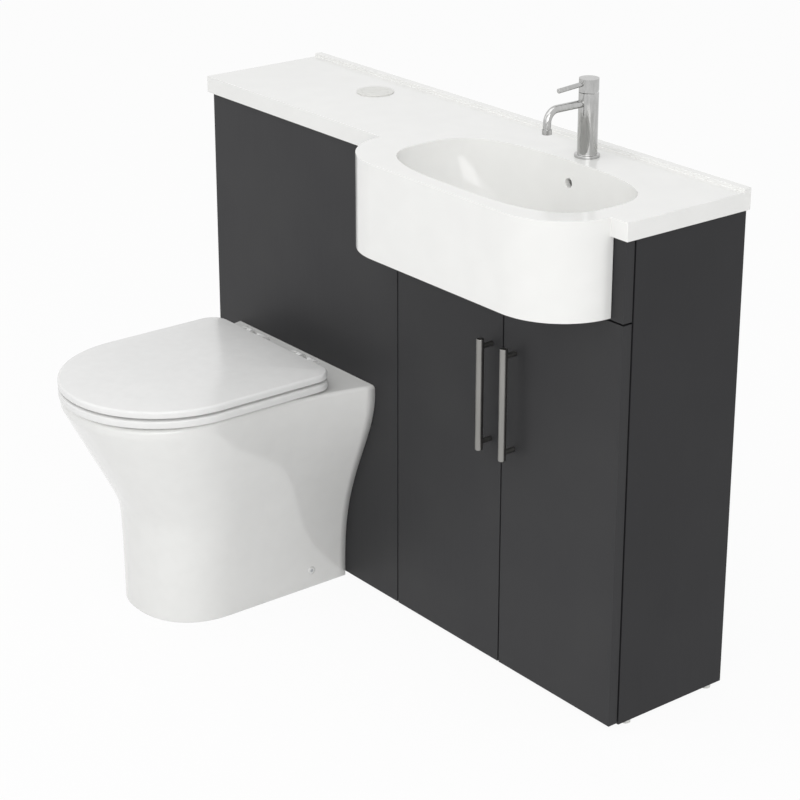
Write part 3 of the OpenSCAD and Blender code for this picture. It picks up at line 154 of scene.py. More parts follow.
def filleted(corners: Sequence[tuple[float, float, float]], steps: int = 5) -> np.ndarray:
    """Polyline with an arc at each inner corner.

    The arc has its middle on the corner's bisector, a radius over sine of the half angle
    away, and touches both legs.

    Args:
        corners: first and second coordinate, and the radius of the corner's arc.
        steps: points on each arc.

    Returns:
        Points of the rounded line, as rows of two.
    """
    pts = np.array([c[:2] for c in corners], float)
    line = [pts[:1]]
    for before, at, after, corner in zip(pts, pts[1:], pts[2:], corners[1:-1]):
        u, v = before - at, after - at
        u, v = u / np.linalg.norm(u), v / np.linalg.norm(v)
        half = math.acos(max(-1.0, min(1.0, float(u @ v)))) / 2
        bisector = (u + v) / np.linalg.norm(u + v)
        middle = at + bisector * corner[2] / math.sin(half)
        start = at + u * corner[2] / math.tan(half) - middle
        end = at + v * corner[2] / math.tan(half) - middle
        t = np.linspace(0, 1, steps)[:, None]
        turn = math.pi - 2 * half
        arc = (np.sin((1 - t) * turn) * start + np.sin(t * turn) * end) / math.sin(turn)
        line.append(middle + arc)
    line.append(pts[-1:])
    return np.vstack(line)


def lathe(profile: np.ndarray, foot: Sequence[float], axis: str = "Z", steps: int = 64) -> Shell:
    """Solid of revolution: each profile point goes round the axis at its own radius.

    Args:
        profile: radius and height rows; the ends are closed by flat caps.
        foot: the point of the axis at height zero.
        axis: direction of the axis, X, Y or Z, or -Y for one that points forwards.
        steps: points round the axis.

    Returns:
        The closed surface.
    """
    a = np.linspace(0, 2 * math.pi, steps, endpoint=False)[None, :]
    r, h = profile[:, :1], profile[:, 1:]
    x, y, z = r * np.cos(a), r * np.sin(a), h + 0 * a
    order = {"Z": (x, y, z), "X": (z, x, y), "Y": (y, z, x), "-Y": (x, -z, y)}[axis]
    return ring_shell(np.stack(order, axis=-1) + np.array(foot))


def tube_along(path: np.ndarray, radii: np.ndarray, steps: int = 40) -> Shell:
    """Round bar carried along a path in an upright plane that holds the Y and Z axes.

    Each ring lies square to the path: its points are the path's point plus the radius
    times the cosine along X and the sine along the path's normal.

    Args:
        path: points of the path.
        radii: radius at each point.
        steps: points on each ring.

    Returns:
        The closed surface.
    """
    tangent = np.gradient(path, axis=0)
    tangent /= np.linalg.norm(tangent, axis=1)[:, None]
    normal = np.stack([0 * tangent[:, 0], -tangent[:, 2], tangent[:, 1]], axis=1)
    a = np.linspace(0, 2 * math.pi, steps, endpoint=False)[None, :, None]
    side = np.array([1.0, 0.0, 0.0])
    offset = np.cos(a) * side + np.sin(a) * normal[:, None, :]
    return ring_shell(path[:, None, :] + radii[:, None, None] * offset)


def block(low: Sequence[float], high: Sequence[float], edge: float) -> Shell:
    """Upright block with rounded edges.

    Its rings are rounded rectangles, and the end rings draw in round a quarter circle.

    Args:
        low: lowest corner.
        high: highest corner.
        edge: radius of the edges.

    Returns:
        The closed surface.
    """
    turn = np.linspace(0, math.pi / 2, 5)
    inset = np.concatenate([edge * (1 - np.sin(turn)), edge * (1 - np.cos(turn))])[:, None]
    z = np.concatenate([low[2] + edge * (1 - np.cos(turn)), high[2] - edge * (1 - np.sin(turn))])
    a = np.linspace(0, 2 * math.pi, 32, endpoint=False)[None, :] + math.pi / 32
    half_x, half_y = (high[0] - low[0]) / 2, (high[1] - low[1]) / 2
    x = np.sign(np.cos(a)) * (half_x - edge) + (edge - inset * 0.98) * np.cos(a)
    y = np.sign(np.sin(a)) * (half_y - edge) + (edge - inset * 0.98) * np.sin(a)
    rings = np.stack([low[0] + half_x + x, low[1] + half_y + y, z[:, None] + 0 * x], axis=-1)
    return ring_shell(rings)


def piece(name: str, shells: Sequence[Shell], finish: bpy.types.Material) -> bpy.types.Object:
    """Puts closed surfaces into one mesh object with smooth, area-weighted normals.

    Args:
        name: the piece's name.
        shells: its surfaces.
        finish: its material.

    Returns:
        The new object, which sits at the origin.
    """
    counts = np.cumsum([0] + [len(s.points) for s in shells])
    points = np.vstack([s.points for s in shells])
    faces: list[list[int]] = []
    for shell, first in zip(shells, counts):
        faces += (shell.quads + first).tolist() + (shell.tris + first).tolist()
    mesh = bpy.data.meshes.new(name)
    mesh.from_pydata(points.tolist(), [], faces)
    mesh.validate()
    mesh.shade_smooth()
    made = bpy.data.objects.new(name, mesh)
    bpy.context.scene.collection.objects.link(made)
    made.modifiers.new("weighted_normals", "WEIGHTED_NORMAL").weight = 50
    mesh.materials.append(finish)
    LOG.info("%s: %d points", name, len(points))
    return made


def merged_copy(node: str, finish: bpy.types.Material, edge: float) -> bpy.types.Object:
    """Copy of a CAD node with its points merged, flat faces joined and edges rounded.

    Args:
        node: the CAD node.
        finish: the copy's material.
        edge: radius of the rounded edges.

    Returns:
        The new object, which stands for the node.
    """
    mesh = frame["nodes"][node].data.copy()
    mesh.name = node + "_skin"
    work = bmesh.new()
    work.from_mesh(mesh)
    bmesh.ops.remove_doubles(work, verts=work.verts, dist=0.00002)
    bmesh.ops.dissolve_limit(
        work, angle_limit=math.radians(0.5), verts=work.verts, edges=work.edges
    )
    work.to_mesh(mesh)
    work.free()
    mesh.shade_smooth()
    mesh.materials.clear()
    mesh.materials.append(finish)
    made = bpy.data.objects.new(node + "_skin", mesh)
    bpy.context.scene.collection.objects.link(made)
    soften(made, edge, 3)
    LOG.info("%s: %d faces", made.name, len(mesh.polygons))
    return made


def soften(obj: bpy.types.Object, edge: float, segments: int = 2) -> None:
    """Rounds an object's sharp edges with a bevel, and weights its normals by area.

    Args:
        obj: the object, whose points are merged already.
        edge: radius of the round.
        segments: faces across the round.
    """
    bevel = obj.modifiers.new("soft_edges", "BEVEL")
    bevel.width = edge
    bevel.segments = segments
    bevel.limit_method = "ANGLE"
    bevel.angle_limit = math.radians(38)
    bevel.miter_outer = "MITER_ARC"
    bevel.harden_normals = True
    bevel.use_clamp_overlap = True
    weights = obj.modifiers.new("weighted_normals", "WEIGHTED_NORMAL")
    weights.weight = 50
    weights.keep_sharp = True


# ---------------------------------------------------------------------------- finishes


def linear(hex_colour: str) -> tuple[float, float, float, float]:
    """Linear colour of an sRGB hex value.

    Args:
        hex_colour: six hex digits after a hash.

    Returns:
        Red, green, blue and alpha.
    """
    parts = [int(hex_colour[k : k + 2], 16) / 255 for k in (1, 3, 5)]
    out = [p / 12.92 if p <= 0.04045 else ((p + 0.055) / 1.055) ** 2.4 for p in parts]
    return (out[0], out[1], out[2], 1.0)


def add_node(tree: bpy.types.NodeTree, kind: str, links: dict[str, Any] | None = None,
             values: dict[str, Any] | None = None, **settings: Any) -> bpy.types.Node:
    """Adds a shader node with its settings, socket values and links.

    Args:
        tree: the node tree.
        kind: the node's type name after ShaderNode.
        links: sockets that feed the node's inputs, by input name or number.
        values: constants for its inputs, by input name or number.
        **settings: properties of the node.

    Returns:
        The new node.
    """
    node = tree.nodes.new("ShaderNode" + kind)
    for key, value in settings.items():
        setattr(node, key, value)
    for key, value in (values or {}).items():
        node.inputs[key].default_value = value
    for key, source in (links or {}).items():
        tree.links.new(source, node.inputs[key])
    return node


@dataclass(frozen=True)
class Finish:
    """Surface finish whose colour and micro-relief vary between two near tones.

    The pattern is noise in the object's own coordinates, stretched by grain: its size
    along X, Y and Z in metres. A faint second noise, a hand's width across, keeps a
    wide face from looking dead flat.
    """

    name: str
    tone: str
    tone_other: str
    roughness: float
    roughness_spread: float = 0.04
    grain: tuple[float, float, float] = (0.004, 0.004, 0.004)
    relief: float = 0.0001
    relief_share: float = 0.2
    metallic: float = 0.0
    ior: float | None = None
    coat: float = 0.0
    detail: float = 3.0

    def build(self) -> bpy.types.Material:
        """Makes the node material."""
        made = bpy.data.materials.new(self.name)
        made.use_nodes = True
        tree = made.node_tree
        shader = next(n for n in tree.nodes if n.type == "BSDF_PRINCIPLED")
        shader.inputs["Metallic"].default_value = self.metallic
        shader.inputs["Coat Weight"].default_value = self.coat
        if self.ior is not None:
            shader.inputs["IOR"].default_value = self.ior
        place = add_node(tree, "TexCoord").outputs["Object"]
        scale = tuple(1.0 / g for g in self.grain)
        stretched = add_node(tree, "Mapping", {"Vector": place}, {"Scale": scale})
        fine = add_node(tree, "TexNoise", {"Vector": stretched.outputs[0]},
                        {"Scale": 1.0, "Detail": self.detail, "Roughness": 0.6})
        broad = add_node(tree, "TexNoise", {"Vector": place}, {"Scale": 7.0, "Detail": 2.0})
        both = add_node(tree, "Math", {0: fine.outputs[0], 1: broad.outputs[0]},
                        operation="MULTIPLY")
        share = add_node(tree, "MapRange", {"Value": both.outputs[0]},
                         {"From Min": 0.12, "From Max": 0.42})
        colour = add_node(tree, "Mix", {"Factor": share.outputs[0]}, data_type="RGBA")
        colour.inputs[6].default_value = linear(self.tone)
        colour.inputs[7].default_value = linear(self.tone_other)
        tree.links.new(colour.outputs[2], shader.inputs["Base Color"])
        rough = add_node(tree, "MapRange", {"Value": fine.outputs[0]},
                         {"From Min": 0.25, "From Max": 0.75,
                          "To Min": self.roughness - self.roughness_spread,
                          "To Max": self.roughness + self.roughness_spread})
        tree.links.new(rough.outputs[0], shader.inputs["Roughness"])
        bump = add_node(tree, "Bump", {"Height": fine.outputs[0]},
                        {"Strength": self.relief_share, "Distance": self.relief})
        tree.links.new(bump.outputs[0], shader.inputs["Normal"])
        return made


FINISHES: dict[Slot, Finish] = {
    # Matt foil wrapped on board: a fine upright print, and only a wide soft sheen
    Slot.FRONT: Finish("matt_grey_foil_front", "#2b2b2d", "#313132", 0.52, 0.06,
                       (0.0016, 0.0016, 0.09), 0.00012, 0.25, ior=1.36),
    # The side is the front's own foil painted a tone darker: painted shade for a side that faces
    # away from the key light
    Slot.SIDE: Finish("matt_grey_foil_side_painted_shade", "#222224", "#272729", 0.52, 0.06,
                      (0.0016, 0.0016, 0.09), 0.00012, 0.25, ior=1.36),
    # Melamine-faced chipboard inside: a lighter grey with a pearl grain
    Slot.CARCASS: Finish("grey_melamine", "#6a6a6c", "#757577", 0.45, 0.06,
                         (0.0025, 0.0025, 0.0025), 0.0001, 0.3, ior=1.45),
    # Cast polyester resin with a sprayed gel coat: glossy, with the faintest long ripple
    Slot.TOP: Finish("gel_coated_resin", "#eeeeec", "#f1f1ef", 0.16, 0.03,
                     (0.05, 0.05, 0.05), 0.0002, 0.12, ior=1.5, coat=0.3, detail=1.0),
    # Vitreous china: a thick fired glaze that pools a little, over a fine orange peel
    Slot.CHINA: Finish("glazed_china", "#ededeb", "#f0f0ee", 0.13, 0.03,
                       (0.03, 0.03, 0.03), 0.0002, 0.12, ior=1.52, coat=0.4, detail=1.5),
    # Pressed urea thermoset: polished, a shade softer than the glaze
    Slot.SEAT: Finish("polished_urea_plastic", "#eeeeed", "#f1f1f0", 0.2, 0.03,
                      (0.02, 0.02, 0.02), 0.0001, 0.1, ior=1.5, detail=1.0),
    # Moulded polypropylene: a dull white with fine spark texture
    Slot.PLASTIC: Finish("moulded_white_plastic", "#dededa", "#e6e6e2", 0.38, 0.05,
                         (0.0015, 0.0015, 0.0015), 0.00008, 0.35, ior=1.49),
    # Bright chrome on brass: mirror smooth, with light wiping marks
    Slot.CHROME: Finish("chrome_plate", "#a9a9a8", "#bdbdbc", 0.1, 0.04,
                        (0.004, 0.004, 0.02), 0.00002, 0.1, metallic=1.0),
    # Satin nickel bar: brushed along its length, so the grain runs up the bar
    Slot.HANDLE: Finish("satin_nickel", "#8d8c89", "#a09f9c", 0.34, 0.07,
                        (0.0007, 0.0007, 0.03), 0.00004, 0.4, metallic=1.0),
    # Zinc-plated steel: a dull bluish metal with a clouded surface
    Slot.ZINC: Finish("zinc_plated_steel", "#9a9da0", "#b4b6b8", 0.36, 0.08,
                      (0.006, 0.006, 0.006), 0.00004, 0.3, metallic=1.0),
    # Moulded rubber: nearly black, with a dusty matt skin
    Slot.RUBBER: Finish("moulded_rubber", "#242424", "#303030", 0.75, 0.06,
                        (0.002, 0.002, 0.002), 0.0001, 0.4, ior=1.5),
}


class Finishes:
    """Materials of all the slots, made once, and the slot that each CAD node takes."""

    def __init__(self) -> None:
        """Makes the materials and reads the nodes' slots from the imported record."""
        self.made = {slot: finish.build() for slot, finish in FINISHES.items()}
        rows = frame["record"]["subparts"]
        self.node_slot = {row["node"]: Slot(row["material_slot"]) for row in rows}

    def of(self, slot: Slot) -> bpy.types.Material:
        """The material of a slot."""
        return self.made[slot]

    def dress_node(self, node: str) -> None:
        """Gives a CAD node its slot's material."""
        obj = frame["nodes"][node]
        obj.data.materials.clear()
        obj.data.materials.append(self.of(self.node_slot[node]))


# --------------------------------------------------------------------------- cabinets


@dataclass
class Cabinets:
    """The two cabinets: boards, fronts, hinges and the fittings inside."""

    finishes: Finishes
    edge: float = 0.8 * MM
    boards: tuple[str, ...] = (
        "wc_side_left", "wc_front_panel", "vanity_side_right", "vanity_fascia", "door_left",
        "door_right",
    )

    def dress(self) -> None:
        """Welds each outer board's mesh and rounds its edges, as edge banding leaves them."""
        for node in self.boards:
            obj = frame["nodes"][node]
            weld = obj.modifiers.new("joined_points", "WELD")
            weld.merge_threshold = 0.00002
            soften(obj, self.edge)
            LOG.info("%s: edges rounded", node)


@dataclass
class Handle:
    """A satin bar handle on two short posts."""

    finishes: Finishes
    hand: Hand
    post_r: float = 4.5 * MM
    post_inset: float = 14 * MM
    end_round: float = 1.6 * MM

    def build(self) -> bpy.types.Object:
        """Builds the bar and posts from the CAD handle's box, and rides them on the door.

        Returns:
            The handle.
        """
        node = "handle_" + self.hand.value
        low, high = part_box(node)
        bar_r = (high.x - low.x) / 2
        x, bar_y = (high.x + low.x) / 2, low.y + bar_r
        length = high.z - low.z
        bar = lathe(
            filleted([(0, 0, 0), (bar_r, 0, self.end_round), (bar_r, length, self.end_round),
                      (0, length, 0)])[1:-1],
            (x, bar_y, low.z),
        )
        reach = high.y - bar_y
        post = filleted([(0, 0, 0), (self.post_r, 0, 0.3 * MM), (self.post_r, reach, 0.3 * MM),
                         (0, reach, 0)])[1:-1]
        posts = [
            lathe(post, (x, bar_y, z), "Y", 40)
            for z in (low.z + self.post_inset, high.z - self.post_inset)
        ]
        made = piece(node + "_bar", [bar, *posts], self.finishes.of(Slot.HANDLE))
        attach(made, "door_" + self.hand.value)
        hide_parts(node)
        return made


# ----------------------------------------------------------------------------- worktop


@dataclass
class Worktop:
    """The moulded top with its basin, and the waste in the bowl's floor."""

    finishes: Finishes
    edge: float = 2.0 * MM
    plug_rise: float = 3 * MM
    plug_sunk: float = 1.1 * MM
    plug_stem_r: float = 3.9 * MM
    plug_rim: float = 0.8 * MM

    def build(self) -> list[bpy.types.Object]:
        """Builds the top's skin and the domed plug.

        Returns:
            The two pieces.
        """
        top = merged_copy("worktop_basin", self.finishes.of(Slot.TOP), self.edge)
        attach(top, "cabinet")
        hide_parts("worktop_basin")
        return [top, self.plug()]

    def plug(self) -> bpy.types.Object:
        """Click plug: a shallow dome, whose height falls with the square of its radius."""
        low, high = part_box("waste_plug")
        x, y = (low.x + high.x) / 2, (low.y + high.y) / 2
        r = (high.x - low.x) / 2
        share = np.linspace(1, 0.04, 14)[:, None]
        sunk = self.plug_sunk * share**2
        dome = np.hstack([(r - self.plug_rim) * share, high.z - sunk])
        foot = high.z - self.plug_rise
        stem = np.array([
            [self.plug_stem_r, low.z], [self.plug_stem_r, foot], [r - 0.6 * MM, foot],
            [r, foot + 0.6 * MM], [r, high.z - 1.7 * MM], [r - 0.3 * MM, high.z - 1.3 * MM],
        ])
        made = piece("waste_plug_dome", [lathe(np.vstack([stem, dome]), (x, y, 0))],
                     self.finishes.of(Slot.CHROME))
        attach(made, "waste_plug")
        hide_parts("waste_plug")
        return made


# ---------------------------------------------------------------------------- fittings


@dataclass
class Fittings:
    """Small turned and moulded parts that keep their CAD shape, with smooth, soft edges."""

    finishes: Finishes
    edges: dict[str, float] = field(default_factory=lambda: {
        "tap_lever_cap": 0.9 * MM, "tap_lever_rod": 0.8 * MM, "tap_aerator": 0.5 * MM,
        "waste_flange": 0.5 * MM, "flush_bezel": 0.8 * MM, "flush_button_full": 0.6 * MM,
        "flush_button_half": 0.6 * MM, "seat_hinge_posts": 0.8 * MM, "trap_body": 0.8 * MM,
        "trap_cup": 0.8 * MM, "trap_outlet_pipe": 0.8 * MM, "waste_backnut": 0.6 * MM,
        "pan_connector": 0.8 * MM, "cistern_tank": 2.5 * MM, "cistern_lid": 2.0 * MM,
    })

    def build(self) -> list[bpy.types.Object]:
        """Builds each part's skin, and rides it on the body that the record gives its node.

        Returns:
            The skins.
        """
        groups = frame["record"]["behaviour"]["bodies"]
        bodies = {node: body for body, nodes in groups.items() for node in nodes}
        made = []
        for node, edge in self.edges.items():
            slot = self.finishes.node_slot[node]
            skin = merged_copy(node, self.finishes.of(slot), edge)
            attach(skin, bodies[node])
            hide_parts(node)
            made.append(skin)
        return made


# --------------------------------------------------------------------------------- tap


@dataclass
class Tap:
    """Single-lever mixer: an upright body, a bent spout, and a cap with a rod lever."""

    finishes: Finishes
    flange_h: float = 5 * MM
    body_r: float = 16.5 * MM
    spout_r: float = 6.5 * MM
    bend_r: float = 20 * MM
    lever_r: float = 4 * MM

    def build(self) -> list[bpy.types.Object]:
        """Builds the body and the spout.

        Returns:
            The two pieces.
        """
        return [self.body(), self.spout()]

    def chrome(self, name: str, shell: Shell, node: str, body: str) -> bpy.types.Object:
        """Makes a chrome piece that stands for a CAD node.

        Args:
            name: the piece's name.
            shell: its surface.
            node: the CAD node that it stands for.
            body: the body that it rides on.

        Returns:
            The piece.
        """
        made = piece(name, [shell], self.finishes.of(Slot.CHROME))
        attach(made, body)
        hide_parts(node)
        return made

    def body(self) -> bpy.types.Object:
        """Turned body: a thin flange on the deck, a straight barrel and a soft top edge."""
        low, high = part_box("tap_body")
        x, y = (low.x + high.x) / 2, (low.y + high.y) / 2
        flange_r, h = (high.x - low.x) / 2, high.z - low.z
        profile = filleted([
            (0, 0, 0), (flange_r, 0, 0.4 * MM), (flange_r, self.flange_h, 1.6 * MM),
            (self.body_r, self.flange_h, 0.9 * MM), (self.body_r, h, 0.6 * MM), (0, h, 0),
        ])[1:-1]
        shell = lathe(profile, (x, y, low.z), steps=96)
        return self.chrome("tap_barrel", shell, "tap_body", "cabinet")

    def spout(self) -> bpy.types.Object:
        """Spout: straight out of the barrel, round a quarter bend and down to the aerator."""
        low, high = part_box("tap_spout")
        x = (low.x + high.x) / 2
        z, front = high.z - self.spout_r, low.y + self.spout_r
        turn = np.linspace(0, math.pi / 2, 22)
        out = np.linspace(high.y, front + self.bend_r, 8)[:-1]
        down = np.linspace(z - self.bend_r, low.z, 5)[1:]
        y_line = np.concatenate([out, front + self.bend_r * (1 - np.sin(turn)), 0 * down + front])
        z_line = np.concatenate([0 * out + z, z - self.bend_r * (1 - np.cos(turn)), down])
        path = np.stack([0 * y_line + x, y_line, z_line], axis=1)
        shell = tube_along(path, np.full(len(path), self.spout_r))
        return self.chrome("tap_spout_tube", shell, "tap_spout", "cabinet")


# -------------------------------------------------------------------------- toilet pan


@dataclass
class Pan:
    """Back-to-wall pan: one glazed casting with its bowl and waterway.

    Distances forward are from the wall, as on the CAD pan, so that the skin follows its
    faces. The foot is narrow and upright. The front slopes straight out from a soft
    crease, and the sides flare to the rim and spread towards the panel.
    """

    finishes: Finishes
    screw_z: float = 34 * MM
    screw_dome: tuple[float, float] = (0.4 * MM, 0.6 * MM)
    foot_hw: float = 119 * MM
    rim_hw: float = 178 * MM
    back_hw: float = 211 * MM
    foot_reach: float = 625 * MM
    crease_z: float = 190 * MM
    crease_soft: float = 18 * MM
    wall_t: float = 13 * MM
    deck_t: float = 22 * MM
    rim_lead: float = 16 * MM
    waist: float = 345 * MM
    waist_pull: float = 1.6
    nose_stretch: float = 0.05
    nose_power: float = 2.25
    edge: float = 7 * MM
    mouth_hw: float = 112 * MM
    mouth_back: float = 400 * MM
    mouth_l: float = 137.5 * MM
    bowl_draw: float = 4.3
    sump_r: float = 40 * MM
    sump_y: float = 515 * MM
    sump_z: float = 70 * MM
    dip_y: float = 465 * MM
    dip_z: float = 146 * MM
    dip_r: float = 52 * MM
    dip_gap: float = 5 * MM
    trap_r: float = 36 * MM
    trap_wall: float = 9 * MM
    trap_bend: float = 50 * MM
    trap_climb: float = 60.0
    trap_fall: float = 35.0
    weir_z: float = 223 * MM
    soil_z: float = 180 * MM
    spigot_r: float = 51 * MM
    spigot_wall: float = 7 * MM
    spigot_start: float = 250 * MM
    spigot_end: float = 223.5 * MM
    cap_r: float = 7 * MM
    side_n: int = 18
    nose_n: int = 84
    back_n: int = 26
    wall_n: int = 72

    def __post_init__(self) -> None:
        """Takes the pan's place and reach from the CAD pan, the worktop and the panel."""
        low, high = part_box("toilet_pan")
        self.wall_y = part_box("worktop_basin")[1].y
        self.x = (low.x + high.x) / 2
        self.height = high.z
        self.reach = self.wall_y - low.y
        self.back = self.wall_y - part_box("wc_front_panel")[0].y + 0.2 * MM

    def side_flare(self, z: np.ndarray) -> np.ndarray:
        """Share of the sides' flare: the height's share to the power 1.5, eased at both ends."""
        share = np.clip(z / (self.height - self.rim_lead), 0, 1) ** 1.5
        return share * share * (3 - 2 * share)

    def climb(self, z: np.ndarray | float) -> np.ndarray:
        """Height above the crease, eased by a hyperbola that is level below it."""
        up = np.asarray(z) - self.crease_z
        return (np.sqrt(up**2 + self.crease_soft**2) + up) / 2

    def nose_slope(self, z: np.ndarray) -> np.ndarray:
        """Share of the front's slope: level below the crease, and straight above it."""
        low, high = self.climb(0.0), self.climb(self.height - self.rim_lead)
        return np.clip((self.climb(z) - low) / (high - low), 0, 1)

    def outline(self, z: np.ndarray, inset: np.ndarray, back: float) -> np.ndarray:
        """Rings of the pan's outside.

        Each ring runs forward along the left side, round a squared nose, back along the
        right side and across the back. The sides widen towards the panel by the square
        of their nearness to it.

        Args:
            z: height of each ring.
            inset: how far each ring is drawn in.
            back: distance of the back from the wall.

        Returns:
            Array of rings, points and coordinates.
        """
        z, inset = np.atleast_1d(z)[:, None], np.atleast_1d(inset)[:, None]
        side = self.side_flare(z)
        hw = self.foot_hw + (self.rim_hw - self.foot_hw) * side - inset
        bw = self.foot_hw + (self.back_hw - self.foot_hw) * side - inset
        front = self.foot_reach + (self.reach - self.foot_reach) * self.nose_slope(z) - inset
        nose = hw * (1 + self.nose_stretch * side)
        start = front - nose
        v = np.arange(self.side_n)[None, :] / self.side_n
        side_y = back + (start - back) * v
        near = np.clip(1 - (side_y - self.back) / self.waist * self.waist_pull, 0, None) ** 2
        side_w = hw + (bw - hw) * near
        a = np.linspace(0, math.pi, self.nose_n)[None, :]
        power = 2 / self.nose_power
        nose_x = hw * np.sign(np.cos(a)) * np.abs(np.cos(a)) ** power
        nose_y = start + nose * np.abs(np.sin(a)) ** power
        across = np.linspace(-1, 1, self.back_n)[None, 1:-1]
        back_x = -side_w[:, :1] * across
        x = np.hstack([-side_w, -nose_x, side_w[:, ::-1], back_x])
        y = np.hstack([side_y, nose_y, side_y[:, ::-1], 0 * back_x + back])
        return np.stack([self.x + x, self.wall_y - y, z + 0 * x], axis=-1)

    def bowl(self, theta: np.ndarray, u: np.ndarray, grow: float) -> np.ndarray:
        """Rings of the bowl, from its mouth at u 0 down to its sump at u 1.

        Each ring is a squared oval, given by its radius in each direction theta. Its half
        axes and middle draw in with a power of the cosine of a quarter turn, and its
        height falls with the sine.

        Args:
            theta: direction of each point, seen from above.
            u: share of the way down, for each ring.
            grow: thickness added outside the bowl.

        Returns:
            Array of rings, points and coordinates.
        """
        wide = np.cos(u * math.pi / 2)[:, None] ** self.bowl_draw
        a = self.sump_r + (self.mouth_hw - self.sump_r) * wide + grow
        b = self.sump_r + (self.mouth_l - self.sump_r) * wide + grow
        power = 2 + 0.3 * wide
        middle = self.sump_y + (self.mouth_back + self.mouth_l - self.sump_y) * wide
        reach = np.abs(np.cos(theta) / a) ** power + np.abs(np.sin(theta) / b) ** power
        r = reach ** (-1 / power)
        z = self.height - (self.height - self.sump_z) * np.sin(u * math.pi / 2)[:, None]
        x, y = r * np.cos(theta), r * np.sin(theta)
        return np.stack([self.x + x, self.wall_y - middle + y, z + 0 * x], axis=-1)

    def waterway(self, theta: np.ndarray, jacket: bool) -> np.ndarray:
        """Rings of the waterway, from under the bowl to the end of the soil spigot.

        The first rings swing a quarter turn about the dip, from lying flat to standing
        upright. The rest stand square to a line of straights and arcs that climbs to the
        weir, goes over it and falls to the outlet.

        Args:
            theta: direction of each point on its ring.
            jacket: whether these are the outside's rings, which are a wall larger.

        Returns:
            Array of rings, points and coordinates.
        """
        swing = np.linspace(0, math.pi / 2, 12)
        r = np.linspace(self.dip_r, self.trap_r, 12)
        near = 0.5 * MM if jacket else self.dip_gap
        far = self.dip_gap + 2 * r + (self.wall_t if jacket else 0.0)
        mid = (near + far) / 2
        rows = [np.stack([-self.dip_y - mid * np.cos(swing), self.dip_z - mid * np.sin(swing),
                          math.pi / 2 - swing, (far - near) / 2], axis=1)]
        wall = self.trap_wall if jacket else 0.0
        y, z, lean = -self.dip_y, self.sump_z + self.trap_r, 0.0
        drop = self.weir_z - self.soil_z
        climb, fall = math.radians(self.trap_climb), math.radians(self.trap_fall)
        up_l = (self.weir_z - z - 2 * self.trap_bend * (1 - math.cos(climb))) / math.sin(climb)
        down_l = (drop - 2 * self.trap_bend * (1 - math.cos(fall))) / math.sin(fall)
        for turn, straight in ((climb, up_l), (-fall, down_l), (0.0, 0.0)):
            a = np.linspace(lean, turn, 9)[1:]
            way = self.trap_bend if turn > lean else -self.trap_bend
            ys = y + way * (np.sin(a) - math.sin(lean))
            zs = z + way * (math.cos(lean) - np.cos(a))
            rows.append(np.stack([ys, zs, -a, 0 * a + self.trap_r + wall], axis=1))
            y, z = ys[-1] + straight * math.cos(turn), zs[-1] + straight * math.sin(turn)
            lean = turn
        end = self.spigot_r if jacket else self.spigot_r - self.spigot_wall
        rows.append(np.array([[-self.spigot_start, self.soil_z, 0.0, end],
                              [-self.spigot_end, self.soil_z, 0.0, end]]))
        line = np.vstack(rows)
        y, z, tilt, r = (line[:, k : k + 1] for k in range(4))
        return np.stack([
            self.x + r * np.cos(theta),
            self.wall_y + y + r * np.sin(theta) * np.sin(tilt),
            z + r * np.sin(theta) * np.cos(tilt),
        ], axis=-1)

    def build(self) -> list[bpy.types.Object]:
        """Builds the casting as one closed grid: bowl, deck, outside, inside and waterway.

        Returns:
            The pan and its two screw caps.
        """
        h, r = self.height, self.edge
        quarter = np.linspace(0, math.pi / 2, 7)
        deck = self.outline(np.array([h]), np.array([r]), self.back)[0]
        middle = self.wall_y - self.mouth_back - self.mouth_l
        theta = np.arctan2(deck[:, 1] - middle, deck[:, 0] - self.x)
        lip_out = self.bowl(theta, np.zeros(1), r)[0]
        lip = self.bowl(theta, np.zeros(1), 0)[0]
        lip_rings = lip + (lip_out - lip) * (1 - np.cos(quarter))[:, None, None]
        lip_rings[:, :, 2] = h - r * (1 - np.sin(quarter))[:, None]
        share = np.linspace(0, 1, 5)[1:-1, None, None]
        deck_rings = lip_out + (deck - lip_out) * share
        neck = math.asin((h - self.dip_z) / (h - self.sump_z)) / (math.pi / 2)
        inner = self.bowl(theta, np.linspace(neck, 0.03, 26), 0)
        turned_in = r * (1 - np.sin(quarter))
        edge_rings = self.outline(h - r * (1 - np.cos(quarter)), turned_in, self.back)
        wall_z = np.linspace(h - r, 2 * MM, self.wall_n)[1:]
        wall = self.outline(wall_z, 0 * wall_z, self.back)
        foot = self.outline(np.array([0.6, 0.0]) * MM, np.array([0.6, 2.0]) * MM, self.back)
        hollow_z = np.linspace(0, h - self.deck_t, 26)
        hollow = self.outline(hollow_z, 0 * hollow_z + self.wall_t, self.back + self.wall_t)
        under = self.bowl(theta, np.linspace(0.05, neck, 22), self.wall_t)
        under[:, :, 2] = np.minimum(under[:, :, 2], h - self.deck_t)
        rings = np.concatenate([
            self.waterway(theta, False)[::-1], inner, lip_rings, deck_rings, edge_rings, wall,
            foot, hollow, under, self.waterway(theta, True),
        ])
        made = piece("pan_casting", [ring_shell(rings, looped=True)], self.finishes.of(Slot.CHINA))
        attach(made, "cabinet")
        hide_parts("toilet_pan")
        return [made, self.caps()]

